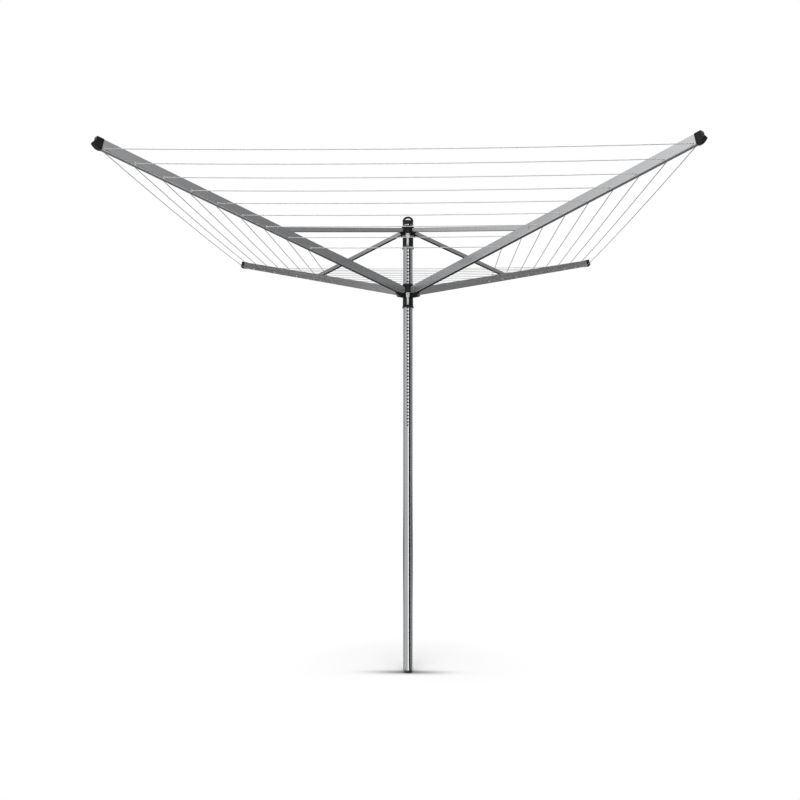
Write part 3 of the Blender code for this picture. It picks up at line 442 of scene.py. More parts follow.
joints = {joint["name"]: joint for joint in frame["joints"]}
HOLE_RADIUS = 0.003
HOLE_PITCH = 0.015
HOLE_COUNT = 57
LATCH_ARM = 0.0375
HOLE_CHAMFER = 0.0009
first_hole = joints["crown_latch_turn"]["pos_m"][2] - LATCH_ARM
half_cell = HOLE_PITCH / 2
turn_share = np.arange(32) * math.tau / 32
circle = np.stack([np.cos(turn_share), np.sin(turn_share)], axis=-1)
square = circle / np.abs(circle).max(axis=1, keepdims=True) * half_cell
rings = []
for radius, depth, shares in (
    (HOLE_RADIUS + HOLE_CHAMFER, 0.0, (1.0, 0.55, 0.2, 0.0)),
    (HOLE_RADIUS, HOLE_CHAMFER, (0.0,)),
    (HOLE_RADIUS, TUBE_WALL, (0.0, 0.2, 0.55, 1.0)),
):
    for share in shares:
        rings.append((circle * radius * (1 - share) + square * share, TUBE_RADIUS - depth))
hole_angle = np.stack([ring[:, 0] for ring, _ in rings]) / TUBE_RADIUS
hole_height = np.stack([ring[:, 1] for ring, _ in rings])
hole_depth = np.array([depth for _, depth in rings])[:, None]
hole_centres = first_hole - HOLE_PITCH * np.arange(HOLE_COUNT)[:, None, None]
tube_shells = patch(hole_depth, hole_angle + 0 * hole_centres, hole_height + hole_centres, TUBE_RADIUS, True)

cell_steps = half_cell * np.array([1, math.tan(0.589), math.tan(0.3927), math.tan(0.19635)])
cell_steps = np.concatenate([cell_steps, [0], -cell_steps[:0:-1]])
row_of_cells = (hole_centres.ravel()[:, None] + cell_steps[None, :]).ravel()
cells_top, cells_low = first_hole + half_cell, hole_centres.min() - half_cell
RIM_CHAMFER = 0.0005
above = np.linspace(cells_top, tube_high.z - RIM_CHAMFER, 6)[1:]
below = np.linspace(cells_low, tube_low.z + RIM_CHAMFER, 24)


def over_rim(heights, end):
    """Radius and height along the tube's outside, over the rim at its end, and back along the bore."""
    outside = [(TUBE_RADIUS, height) for height in heights]
    rim = [(TUBE_RADIUS - RIM_CHAMFER, end), (tube_bore + RIM_CHAMFER, end)]
    return outside + rim + [(tube_bore, height) for height in heights[::-1]]


half_angle = half_cell / TUBE_RADIUS
front_columns = np.concatenate([-cell_steps[:-1], [half_cell]]) / TUBE_RADIUS
back_columns = np.linspace(half_angle, math.tau - half_angle, 57)
top_rim = [(tube_bore + RIM_CHAMFER, tube_high.z), (TUBE_RADIUS - RIM_CHAMFER, tube_high.z)]
back_wall = over_rim(np.concatenate([above[::-1], row_of_cells, below]), tube_low.z) + top_rim
for wall, columns in (
    (over_rim(np.append(cells_top, above), tube_high.z), front_columns),
    (over_rim(below, tube_low.z), front_columns),
    (back_wall + back_wall[:1], back_columns),
):
    radius, height = np.array(wall)[:, :1], np.array(wall)[:, 1:]
    tube_shells += patch(radius, columns[None, :], height, TUBE_RADIUS, False)

# The mast's bore and the walls and chamfers of its holes are painted near-black as shade.
mast_aluminium = aluminium(
    "mast_aluminium", (0.52, 0.53, 0.54), (0.60, 0.61, 0.62), 0.15, dust=0.05,
    shaded_bore_radius=TUBE_RADIUS - 0.0001,
)
piece(
    "mast_tube_drawn", [welded(tube_shells)], mast_aluminium, "mast",
    replaces=["mast_tube"],
)


# Foot rivet. A zinc-plated steel rivet through the tube's wall. Its shank runs
# in the plug's groove, so the plug can't drop out.

def zinc(name, roughness=0.28):
    """Zinc-plated steel: small bright spangles in patches, dulled a little between them."""
    material = bpy.data.materials.new(name)
    material.use_nodes = True
    tree = material.node_tree
    shader = tree.nodes["Principled BSDF"]
    spot = node(tree, "TexCoord").outputs["Object"]
    spangle = node(tree, "TexVoronoi", {"Vector": spot, "Scale": 900.0})
    tint = node(tree, "SeparateXYZ", {0: spangle.outputs["Color"]})
    colour = shaded(tree, (0.36, 0.36, 0.37), (0.56, 0.56, 0.58), tint.outputs["X"], at=(0.0, 1.0))
    film = placed(tree, settled_dust, amount=0.2)
    tree.links.new(
        colour_mix(tree, colour, (0.20, 0.19, 0.17), film.outputs["Mask"]), shader.inputs["Base Color"],
    )
    rough = node(
        tree, "MapRange", {"Value": tint.outputs["Y"], "To Min": roughness - 0.06, "To Max": roughness + 0.1},
    )
    tree.links.new(rough.outputs[0], shader.inputs["Roughness"])
    shader.inputs["Metallic"].default_value = 1.0
    return material


def moved(shell, turn, origin):
    """A shell with each point p carried to origin + turn p; turn's columns are its new axes."""
    points, faces, uv = shell
    return points @ np.asarray(turn, float).T + np.asarray(origin, float), faces, uv


def domed(radius, height, steps=8):
    """Half an outline of a low dome: a quarter of an ellipse from its rim to its crown."""
    angle = np.linspace(0, math.pi / 2, steps, endpoint=False)
    return np.stack([radius * np.cos(angle), height * np.sin(angle)], axis=-1)


def axes_along(direction):
    """Three right-angled axes as columns, the third along a direction."""
    third = unit(direction)
    helper = np.array([0.0, 0.0, 1.0]) if abs(third[2]) < 0.9 else np.array([1.0, 0.0, 0.0])
    first = unit(np.cross(helper, third))
    return np.column_stack([first, np.cross(third, first), third])


zinc_steel = zinc("zinc_plated_steel")
rivet_low, rivet_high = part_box("foot_rivet")
RIVET_AZIMUTH = math.radians(-121)
RIVET_HEAD = 0.0036
RIVET_SHANK = 0.002
rivet_out = np.array([math.cos(RIVET_AZIMUTH), math.sin(RIVET_AZIMUTH), 0.0])
rivet_rise = (rivet_low.z + rivet_high.z) / 2
head = domed(RIVET_HEAD, 0.001) + [0, TUBE_RADIUS + GAP]
shank = [(0.0001, tube_bore - 0.004), (RIVET_SHANK, tube_bore - 0.004), (RIVET_SHANK, TUBE_RADIUS + GAP)]
rivet_shell = turned(np.concatenate([shank, head]), 32, to_axis=True)
piece(
    "foot_rivet_domed", [moved(rivet_shell, axes_along(rivet_out), (0, 0, rivet_rise))], zinc_steel,
    "mast", replaces=["foot_rivet"],
)



# Top cap. A black cap pressed over the tube's upper end keeps rain out. A
# thick loop stands on it, by which the folded dryer is hung up or its cover
# is held.

def swept(path, section, reference, scale=1.0, closed=False):
    """A section of (side, up) points carried along a path, as a closed tube.

    Side is the path's direction crossed with the reference, and up is side
    crossed with the direction; scale grows or shrinks the section on its way.
    """
    path = np.asarray(path, float)
    if closed:
        ahead = np.roll(path, -1, axis=0) - np.roll(path, 1, axis=0)
    else:
        ahead = np.gradient(path, axis=0)
    ahead = unit(ahead)
    side = unit(np.cross(ahead, reference))
    up = np.cross(side, ahead)
    scale = np.broadcast_to(np.asarray(scale, float), (len(path),))[:, None, None]
    section = np.asarray(section, float)[None]
    points = path[:, None] + scale * (section[..., :1] * side[:, None] + section[..., 1:] * up[:, None])
    return grid(points, wrap_rows=closed, close_ends=not closed)


def oval(half_width, half_height, steps=20, power=1.0):
    """A round or, with a power under 1, a squarer closed outline."""
    angle = np.arange(steps) * math.tau / steps
    bent = [np.sign(f) * np.abs(f) ** power for f in (np.cos(angle), np.sin(angle))]
    return np.stack([half_width * bent[0], half_height * bent[1]], axis=-1)


cap_low, cap_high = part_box("mast_top_cap")
cap_radius = TUBE_RADIUS + GAP + 0.0017
cap_roof = tube_high.z + GAP
cap_top = cap_roof + 0.0047
cup = filleted(
    [(0.0001, cap_top + 0.0006), (0.012, cap_top + 0.0006), (0.0135, cap_top), (cap_radius, cap_top),
     (cap_radius, cap_low.z + 0.003), (cap_radius + 0.0005, cap_low.z + 0.0025),
     (cap_radius + 0.0005, cap_low.z), (TUBE_RADIUS + GAP, cap_low.z),
     (TUBE_RADIUS + GAP, cap_roof), (0.0001, cap_roof)],
    [0, 0.0005, 0.0005, 0.0022, 0.0005, 0.0003, 0.0006, 0.0003, 0.0005, 0], steps=5,
)
LOOP_THICKNESS = 0.0088
loop_half_width = cap_radius - LOOP_THICKNESS / 2
loop_rise = cap_high.z - cap_top - LOOP_THICKNESS / 2
lean = np.linspace(0, math.pi, 41)
LOOP_SINK = 0.0012
loop_path = np.stack([
    loop_half_width * np.cos(lean), 0 * lean, cap_top - LOOP_SINK + (loop_rise + LOOP_SINK) * np.sin(lean),
], axis=-1)
flare = 1 + 0.16 * np.cos(lean) ** 8
loop = swept(loop_path, oval(LOOP_THICKNESS / 2, 0.0058, 24, 0.7), (0, 1, 0), flare)
piece(
    "mast_top_cap_and_loop", [turned(cup, to_axis=True), loop], black_plastic, "mast",
    replaces=["mast_top_cap"],
)


# Crown. The upper hub slides on the mast and carries the struts. A black nylon
# hub with a conical top disc and four tongues stands on a grey ring, a black
# sleeve and a second grey ring with two small rubber feet.

def inset(outline, distance):
    """A closed outline moved inwards by a distance, along the bisector at each point."""
    edges = np.roll(outline, -1, axis=0) - outline
    area = np.cross(outline, np.roll(outline, -1, axis=0)).sum()
    normal = unit(np.stack([-edges[:, 1], edges[:, 0]], axis=-1)) * np.sign(area)
    bisector = normal + np.roll(normal, 1, axis=0)
    return outline + distance * 2 * bisector / (bisector ** 2).sum(1, keepdims=True)


def plate(outline, thickness, edge, steps=4):
    """A flat plate of an (x, z) outline, centred on y = 0, with its edges rounded.

    Each level's inset is edge * (1 - sin a) at a depth of edge * (1 - cos a)
    from the face, as a goes through a right angle.
    """
    angle = np.linspace(0, math.pi / 2, steps)
    insets, depths = edge * (1 - np.sin(angle)), edge * (1 - np.cos(angle))
    insets = np.concatenate([insets, insets[::-1]])
    depths = np.concatenate([depths - thickness / 2, thickness / 2 - depths[::-1]])
    levels = [
        np.insert(inset(outline, inward), 1, depth, axis=1) for inward, depth in zip(insets, depths)
    ]
    return grid(np.stack(levels), close_ends=True)


def arc(centre, radius, start, end, steps):
    """Points along an arc from one angle to another, in degrees."""
    angle = np.radians(np.linspace(start, end, steps))
    return np.stack([centre[0] + radius * np.cos(angle), centre[1] + radius * np.sin(angle)], axis=-1)


def about_mast(shell, azimuth):
    """A shell modelled along +X, carried round the mast to an azimuth."""
    c, s = math.cos(azimuth), math.sin(azimuth)
    return moved(shell, [[c, -s, 0], [s, c, 0], [0, 0, 1]], (0, 0, 0))


def band(node_name, chamfer, flutes=0, depth=0.0):
    """A ring round the mast as tall and wide as its node, with rounded edges and shallow flutes."""
    low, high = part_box(node_name)
    outer = high.x
    profile = filleted(
        [(bore, high.z), (outer, high.z), (outer, low.z), (bore, low.z)],
        [0.0003, chamfer, chamfer, 0.0003],
    )
    points, faces, uv = turned(profile, 160 if flutes else 96)
    if flutes:
        azimuth = np.arctan2(points[:, 1], points[:, 0])
        radius = np.hypot(points[:, 0], points[:, 1])
        share = np.clip((radius - bore) / (outer - bore), 0, 1) ** 2
        share = share * (np.minimum(points[:, 2] - low.z, high.z - points[:, 2]) > 2 * chamfer / 3)
        shrink = 1 - depth * share * (0.5 - 0.5 * np.cos(flutes * azimuth)) / radius
        points = points * np.stack([shrink, shrink, np.ones_like(shrink)], axis=-1)
    return points, faces, uv


def box_plate(low, high, edge=0.0004):
    """A rounded block between two opposite corners."""
    low, high = np.asarray(low, float), np.asarray(high, float)
    outline = np.array([(low[0], low[2]), (high[0], low[2]), (high[0], high[2]), (low[0], high[2])])
    shell = plate(filleted(outline, edge * 1.2, 4), high[1] - low[1], edge)
    return moved(shell, np.eye(3), (0, (low[1] + high[1]) / 2, 0))


def latch_ears(axis_y, height):
    """Two drilled ears either side of a latch's head, as rounded plates across X."""
    shells = []
    for side in (-1, 1):
        middle = side * (EAR_START + EAR_WIDTH / 2)
        wall = -math.sqrt((bore + 0.0004) ** 2 - (EAR_START + 0.0008) ** 2)
        outline = np.concatenate([
            arc((axis_y, height), 0.0031, 90, 270, 12),
            [(wall, height - 0.0042), (wall, height + 0.0042)],
        ])
        ear = plate(outline, EAR_WIDTH, 0.0003)
        shells.append(moved(ear, [[0, 1, 0], [1, 0, 0], [0, 0, 1]], (middle, 0, 0)))
    return shells


EAR_START = 0.0110
EAR_WIDTH = 0.0020
grey_plastic = plastic("grey_plastic", (0.17, 0.17, 0.175), (0.24, 0.24, 0.245), 0.40, 0.2, (0.4, 0.4, 0.41))
rubber = plastic(
    "soft_rubber", (0.008, 0.008, 0.008), (0.016, 0.016, 0.016), 0.62, 0.4, (0.05, 0.05, 0.05), 1800.0,
)
bore = TUBE_RADIUS + GAP
arm_azimuths = {
    "front_right": math.radians(-45), "back_right": math.radians(45),
    "back_left": math.radians(135), "front_left": math.radians(225),
}
crown_low, crown_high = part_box("crown_hub")
strut_pin_low, strut_pin_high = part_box("strut_pin_back_right")
crown_pivot = (strut_pin_low.z + strut_pin_high.z) / 2
pivot_radius = math.hypot(
    (strut_pin_low.x + strut_pin_high.x) / 2, (strut_pin_low.y + strut_pin_high.y) / 2,
)
CROWN_TOP_RADIUS = 0.0246
DISC_RADIUS = 0.0300
DISC_TAPER = 0.0064
DISC_HEIGHT = 0.0085
DRUM_RADIUS = 0.0252
SKIRT_RADIUS = 0.0259
crown_body = filleted(
    [(bore, crown_high.z), (CROWN_TOP_RADIUS, crown_high.z), (DISC_RADIUS, crown_high.z - DISC_TAPER),
     (DISC_RADIUS, crown_high.z - DISC_HEIGHT), (DRUM_RADIUS, crown_high.z - DISC_HEIGHT),
     (DRUM_RADIUS, crown_pivot), (SKIRT_RADIUS, crown_pivot - 0.001),
     (SKIRT_RADIUS, crown_low.z), (bore, crown_low.z)],
    [0.0005, 0.0008, 0.0010, 0.0006, 0.0012, 0.0006, 0.0006, 0.0008, 0.0003],
)
STRUT_TONGUE_WIDTH = 0.0080
WING_THICKNESS = 0.0022
WING_ASIDE = 0.0039
EYE_RADIUS = 0.0073
SEAT_RADIUS = 0.0026
mouth = math.degrees(math.acos(SEAT_RADIUS * 1.3 / EYE_RADIUS))
strut_tongue = np.concatenate([
    [(DRUM_RADIUS - 0.001, crown_low.z + 0.0004), (pivot_radius - EYE_RADIUS, crown_low.z + 0.0004),
     (pivot_radius + 0.0040, crown_low.z + 0.0064)],
    arc((pivot_radius, crown_pivot), EYE_RADIUS, -25, mouth, 12),
    arc((pivot_radius, crown_pivot), SEAT_RADIUS, 10, -190, 16),
    arc((pivot_radius, crown_pivot), EYE_RADIUS, 180 - mouth, 150, 4),
    [(DRUM_RADIUS - 0.001, crown_pivot + 0.0040)],
])
wing = np.array([
    (DRUM_RADIUS - 0.001, crown_low.z + 0.0004), (0.0340, crown_low.z + 0.0030),
    (0.0370, crown_low.z + 0.0085), (DRUM_RADIUS - 0.001, crown_low.z + 0.0125),
])
latch_y, latch_z = (
    {hub: joints[hub + "_latch_turn"]["pos_m"][axis] for hub in ("crown", "carriage")} for axis in (1, 2)
)
crown_shells = [turned(crown_body)] + latch_ears(latch_y["crown"], latch_z["crown"])
tongue_plate = plate(strut_tongue, STRUT_TONGUE_WIDTH, 0.0006)
wing_plate = plate(filleted(wing, 0.001, 4), WING_THICKNESS, 0.0006)
for azimuth in arm_azimuths.values():
    crown_shells.append(about_mast(tongue_plate, azimuth))
    for side in (-1, 1):
        cheek = moved(wing_plate, np.eye(3), (0, side * WING_ASIDE, 0))
        crown_shells.append(about_mast(cheek, azimuth))
RIBS = 8
rib_root, rib_top = DRUM_RADIUS - 0.0005, crown_high.z - DISC_HEIGHT + 0.0004
rib = np.array([(rib_root, crown_pivot + 0.005), (DISC_RADIUS - 0.0012, rib_top), (rib_root, rib_top)])
rib_plate = plate(filleted(rib, 0.0004, 3), 0.0018, 0.0003)
for azimuth in np.arange(RIBS) * math.tau / RIBS:
    crown_shells.append(about_mast(rib_plate, azimuth))
piece(
    "crown_hub_moulding", crown_shells, black_plastic, "crown", replaces=["crown_hub"],
)
for ring_name, flutes in (("crown_upper_ring", 0), ("crown_lower_ring", 48)):
    piece(
        ring_name + "_moulding", [band(ring_name, 0.0009, flutes, 0.0005)], grey_plastic, "crown",
        replaces=[ring_name],
    )


def sleeve_shells(prefix, tongue_width, rail_top):
    """A hub's sleeve with the two rails that guide its latch's tongue, and three low hoops."""
    low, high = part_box(prefix + "_sleeve")
    radius = high.x
    shells = [band(prefix + "_sleeve", 0.0004)]
    inner = tongue_width / 2 + 0.0006
    front = -(SKIRT_RADIUS if prefix == "crown" else radius) - 0.0022
    for side in (-1, 1):
        ends = sorted((side * inner, side * (inner + 0.002)))
        shells.append(box_plate((ends[0], front, low.z + 0.001), (ends[1], -bore + 0.0012, rail_top), 0.0005))
    for height in (low.z + 0.0035, low.z + 0.0065, high.z - 0.0035):
        hoop = filleted([
            (radius - 0.0004, height + 0.0008), (radius + 0.0004, height + 0.0004),
            (radius + 0.0004, height - 0.0004), (radius - 0.0004, height - 0.0008),
        ], 0.0002, 3)
        shells.append(turned(hoop))
    return shells


def feet_shells(node_name):
    """Two small rubber feet under a ring, left and right, each a rounded block on the ring's rim."""
    low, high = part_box(node_name)
    inner_low = (bore + 0.0004, -FOOT_HALF_WIDTH, low.z - FOOT_DROP)
    outer_high = (high.x + 0.0012, FOOT_HALF_WIDTH, low.z + 0.0030)
    block = box_plate(inner_low, outer_high, 0.0007)
    return [about_mast(block, azimuth) for azimuth in (0.0, math.pi)]


FOOT_HALF_WIDTH = 0.0045
FOOT_DROP = 0.0018
piece(
    "crown_sleeve_moulding", sleeve_shells("crown", 0.010, latch_z["crown"] - LATCH_ARM + 0.016),
    black_plastic, "crown", replaces=["crown_sleeve"],
)
piece("crown_rubber_feet", feet_shells("crown_lower_ring"), rubber, "crown")


# Latches. Each hub has a light grey keyhole lever. Its wide head hinges on a
# steel pin between two ears, a torsion spring presses its narrow tongue in,
# and the stub behind the tongue drops into a hole of the mast.

def tube_along(start, end, outer, inner, chamfer=0.0003, segments=32):
    """A sleeve, or with inner 0 a solid pin, from one point to another."""
    start, end = np.asarray(start, float), np.asarray(end, float)
    length = np.linalg.norm(end - start)
    hollow = inner > 0
    inner = inner if hollow else 0.0001
    profile = filleted(
        [(inner, 0), (outer, 0), (outer, length), (inner, length)],
        [0.0001 * hollow, chamfer, chamfer, 0.0001 * hollow], 4,
    )
    if not hollow:
        profile = np.roll(profile, -np.argmin(np.abs(profile).sum(1)), axis=0)
    return moved(turned(profile, segments, to_axis=not hollow), axes_along(end - start), start)


def keyhole(head_width, head_length, corner, tongue_width, arm):
    """A lever's outline: a rounded head above a narrow tongue."""
    half, narrow, tail = head_width / 2, tongue_width / 2, -arm - LEVER_TAIL
    top, low = LEVER_TOP, LEVER_TOP - head_length
    lower = min(corner, half - narrow)
    right = np.concatenate([
        arc((half - corner, top - corner), corner, 90, 0, 12),
        arc((half - lower, low + lower), lower, -4, -80, 8),
        arc((narrow + 0.0012, low - 0.0012), 0.0012, 100, 180, 5),
        arc((narrow - 0.002, tail + 0.002), 0.002, 0, -84, 7),
    ])
    return np.concatenate([right, right[::-1] * [-1, 1]])


def latch_shells(prefix, head_width, head_length, corner, tongue_width, arm):
    """A lever with its knuckle, stub, raised border and thumb ribs."""
    pivot = np.array([0, latch_y[prefix], latch_z[prefix]])
    outline = keyhole(head_width, head_length, corner, tongue_width, arm)
    front = KNUCKLE_RADIUS - LEVER_THICKNESS
    middle = pivot + [0, front + LEVER_THICKNESS / 2, 0]
    shells = [moved(plate(outline, LEVER_THICKNESS, 0.0005), np.eye(3), middle)]
    head_middle = LEVER_TOP - head_length * 0.55
    ring = np.insert(oval(head_width * 0.27, head_length * 0.22, 28), 1, 0, axis=1)
    shells.append(swept(
        ring + pivot + [0, front, head_middle], oval(0.0006, 0.0006, 8), (0, 1, 0), closed=True,
    ))
    for step in range(5):
        height = -arm - 0.013 + step * 0.0024
        half = tongue_width * 0.32
        bar = box_plate((-half, front - 0.0005, height), (half, front + 0.0004, height + 0.0011), 0.0003)
        shells.append(moved(bar, np.eye(3), pivot))
    shells.append(tube_along(
        pivot - [KNUCKLE_HALF, 0, 0], pivot + [KNUCKLE_HALF, 0, 0], KNUCKLE_RADIUS, 0.0015,
    ))
    stub_end = -TUBE_RADIUS - GAP - pivot[1]
    foot = pivot + [0, 0.001, -arm]
    shells.append(tube_along(foot, foot + [0, stub_end - 0.001, 0], 0.0024, 0, 0.0006))
    return shells


def spring_coil(prefix):
    """A torsion spring: a helix of two turns round the pin, beside the lever's knuckle."""
    turns = 2
    angle = np.linspace(0, turns * math.tau, turns * 28 + 1)
    start = EAR_START - turns * SPRING_PITCH - 0.00065
    points = np.stack([
        start + SPRING_PITCH * angle / math.tau,
        latch_y[prefix] + 0.002 * np.cos(angle), latch_z[prefix] + 0.002 * np.sin(angle),
    ], axis=-1)
    return swept(points, oval(0.00035, 0.00035, 10), (1, 0, 0))


LEVER_THICKNESS = 0.003
LEVER_TOP = 0.0028
LEVER_TAIL = 0.0163
KNUCKLE_RADIUS = 0.0026
KNUCKLE_HALF = 0.0050
SPRING_PITCH = 0.00085
CARRIAGE_LATCH_ARM = 0.0355
latch_plastic = plastic("latch_plastic", (0.42, 0.43, 0.44), (0.50, 0.51, 0.52), 0.40, 0.15, (0.6, 0.6, 0.61))
for prefix, body, sizes in (
    ("crown", "crown_lever", (0.018, 0.0194, 0.0088, 0.010, LATCH_ARM)),
    ("carriage", "carriage_lever", (0.016, 0.0203, 0.003, 0.009, CARRIAGE_LATCH_ARM)),
):
    piece(
        prefix + "_latch_lever", latch_shells(prefix, *sizes), latch_plastic, body,
        replaces=[prefix + "_latch"],
    )
    pivot = np.array([0, latch_y[prefix], latch_z[prefix]])
    reach = EAR_START + EAR_WIDTH
    piece(
        prefix + "_latch_hinge_pin", [tube_along(pivot - [reach, 0, 0], pivot + [reach, 0, 0], 0.0012, 0)],
        zinc_steel, prefix, replaces=[prefix + "_latch_pin"],
    )
    piece(
        prefix + "_latch_torsion_spring", [spring_coil(prefix)], zinc_steel, prefix,
        replaces=[prefix + "_latch_spring"],
    )


# Carriage. The lower hub carries the arms: a black nylon hub with a conical
# collar, four tongues that stand in the arms' roots, and four lobes on which
# the opened arms rest. Below it hang a black sleeve and a black ring.

ARM_SLOPE = math.radians(13.4)
HALF_HEIGHT = 0.018
carriage_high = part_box("carriage_hub")[1]
arm_root = joints["arm_hinge_back_right"]["pos_m"]
root_radius, root_height = math.hypot(arm_root[0], arm_root[1]), arm_root[2]
flange_low = root_height - 0.0103
COLLAR_RADIUS = 0.0262
CARRIAGE_DRUM = 0.0243
CARRIAGE_SLEEVE = 0.0240
FLANGE_RADIUS = 0.0280
carriage_body = filleted(
    [(bore, carriage_high.z), (CARRIAGE_SLEEVE, carriage_high.z), (COLLAR_RADIUS, carriage_high.z - 0.0057),
     (COLLAR_RADIUS, carriage_high.z - 0.0095), (CARRIAGE_DRUM, carriage_high.z - 0.0095),
     (CARRIAGE_DRUM, flange_low + 0.008), (FLANGE_RADIUS, flange_low + 0.007), (FLANGE_RADIUS, flange_low),
     (bore, flange_low)],
    [0.0004, 0.0006, 0.0008, 0.0006, 0.0008, 0.0012, 0.0008, 0.0008, 0.0003],
)
tongue_root = CARRIAGE_DRUM - 0.001
tongue_clear = CARRIAGE_SLEEVE + 3 * GAP
tongue_reach = root_radius + 0.0145
tongue_low = root_height - HALF_HEIGHT - 0.0045
TONGUE_CORNER = 0.006
arm_tongue = np.concatenate([
    [(tongue_root, flange_low + 0.001), (tongue_clear, flange_low + 0.001), (tongue_clear, tongue_low),
     (tongue_reach, tongue_low)],
    arc((tongue_reach - TONGUE_CORNER, root_height + 0.012 - TONGUE_CORNER), TONGUE_CORNER, 0, 90, 9),
    [(tongue_root, root_height + 0.012)],
])
LOBE_DEPTH = 0.0075
lobe_tip = root_radius + 0.024


def rest_height(out):
    """The height just under an opened arm, at a distance out from the mast's axis."""
    return root_height + (out - root_radius) * math.tan(ARM_SLOPE) - (HALF_HEIGHT + GAP) / math.cos(ARM_SLOPE)


lobe = filleted(
    [(tongue_clear, rest_height(tongue_clear)), (lobe_tip, rest_height(lobe_tip)),
     (lobe_tip, rest_height(lobe_tip) - LOBE_DEPTH / 2),
     (lobe_tip - LOBE_DEPTH, rest_height(lobe_tip) - LOBE_DEPTH * 1.2),
     (tongue_clear, rest_height(tongue_clear) - LOBE_DEPTH)],
    [0.0003, 0.0008, 0.0020, 0.0030, 0.0008],
)
ARM_TONGUE_WIDTH = 0.0120
LOBE_WIDTH = 0.0200
carriage_shells = [turned(carriage_body)]
for azimuth in arm_azimuths.values():
    carriage_shells.append(about_mast(plate(arm_tongue, ARM_TONGUE_WIDTH, 0.0007), azimuth))
    carriage_shells.append(about_mast(plate(lobe, LOBE_WIDTH, 0.0007), azimuth))
piece(
    "carriage_hub_moulding", carriage_shells, black_plastic, "carriage",
    replaces=["carriage_hub"],
)
carriage_hole = latch_z["carriage"] - CARRIAGE_LATCH_ARM
carriage_tube = sleeve_shells("carriage", 0.009, carriage_hole + 0.014)
carriage_tube += latch_ears(latch_y["carriage"], latch_z["carriage"])
piece(
    "carriage_sleeve_moulding", carriage_tube, black_plastic, "carriage",
    replaces=["carriage_sleeve"],
)
piece(
    "carriage_lower_ring_moulding", [band("carriage_lower_ring", 0.0009, 48, 0.0005)], black_plastic,
    "carriage", replaces=["carriage_lower_ring"],
)
piece("carriage_rubber_feet", feet_shells("carriage_lower_ring"), rubber, "carriage")


# Arms. Each arm is an aluminium channel, bent up from sheet and open above,
# with round-ended cheeks at its root. A steel pin joins it to the carriage.

def frame_of(azimuth, slope, radius, height):
    """The axes and origin of a bar in a vertical plane through the mast's axis.

    X runs along the bar, outwards and up by its slope, Y sideways and Z upwards.
    """
    c, s = math.cos(azimuth), math.sin(azimuth)
    along = np.array([c * math.cos(slope), s * math.cos(slope), math.sin(slope)])
    side = np.array([-s, c, 0.0])
    return np.column_stack([along, side, np.cross(along, side)]), np.array([radius * c, radius * s, height])


def channel_bar(half_width, half_height, wall, bend, ends, stations):
    """A U of constant wall, open towards +Z, carried along X between two shaped ends.

    The outside is (y, z) round three sides with bends of a radius, and the
    inside is the same one wall further in. ends gives, for a height z and for
    how much a point belongs to the floor, where the bar starts and stops. The
    surface map is measured on the same bar cut off square.
    """
    def side_line(half, low, radius):
        turns = np.linspace(0, math.pi / 2, 7)
        left = np.stack([-half + radius * (1 - np.cos(turns)), low + radius * (1 - np.sin(turns))], axis=-1)
        cheek = np.stack([np.full(9, -half), np.linspace(half_height, low + radius, 10)[:9]], axis=-1)
        floor = np.array([(-half * 0.4, low), (0.0, low)])
        half_line = np.concatenate([cheek, left, floor])
        return np.concatenate([half_line, half_line[-2::-1] * [-1, 1]])

    outer = side_line(half_width, -half_height, bend)
    inner = side_line(half_width - wall, -half_height + wall, max(bend - wall, 0.0003))
    count = len(outer)
    section = np.concatenate([outer, inner[::-1]])
    belongs = np.clip((np.arange(count) - 8) / 6, 0, 1)
    belongs = np.minimum(belongs, belongs[::-1])
    belongs = np.concatenate([belongs, belongs[::-1]])
    start, stop = ends(section[:, 1], belongs)
    x = start[None, :] * (1 - stations[:, None]) + stop[None, :] * stations[:, None]
    points = np.stack([x, section[:, 0] + 0 * x, section[:, 1] + 0 * x], axis=-1)
    square_cut = points.copy()
    square_cut[..., 0] = stations[:, None] * (stop.mean() - start.mean())
    vertices, faces = grid(points)[:2]
    uv = grid(square_cut)[2]
    i = np.arange(count - 1)
    strip = np.stack([i, i + 1, 2 * count - 2 - i, 2 * count - 1 - i], axis=-1)
    flipped = (faces[0][0] != np.array([0, len(section), len(section) + 1, 1])).any()
    last = strip + len(section) * (len(stations) - 1)
    caps = [strip, last[:, ::-1]]
    if flipped:
        caps = [cap[:, ::-1] for cap in caps]
    for cap in caps:
        faces.append(cap)
        uv.append(vertices[cap][..., 1:])
    return vertices, faces, uv


def pin_along_side(radius, head_radius, head, grip):
    """A pin along Y with a low domed head at each end of its grip."""
    half = grip / 2
    cap = np.concatenate([[(radius, 0.0), (head_radius, 0.0)], domed(head_radius, head), [(0.0001, head)]])
    profile = np.concatenate([(cap + [0, half])[::-1], cap * [1, -1] - [0, half]])
    return moved(turned(profile, 28, to_axis=True), [[0, 1, 0], [0, 0, 1], [1, 0, 0]], (0, 0, 0))


ARM_END = 1.423
ARM_HALF_WIDTH = 0.01075
ARM_WALL = 0.0015
FLOOR_START = 0.026
arm_metal = aluminium("arm_aluminium", (0.62, 0.63, 0.64), (0.70, 0.71, 0.72), 0.20, dust=0.18)


def arm_ends(height, floor):
    """An arm's ends: a half circle about the pin for the cheeks, a start further out for the floor."""
    round_end = -np.sqrt(np.maximum(HALF_HEIGHT ** 2 - height ** 2, 0))
    return round_end * (1 - floor) + FLOOR_START * floor, np.full_like(height, ARM_END)


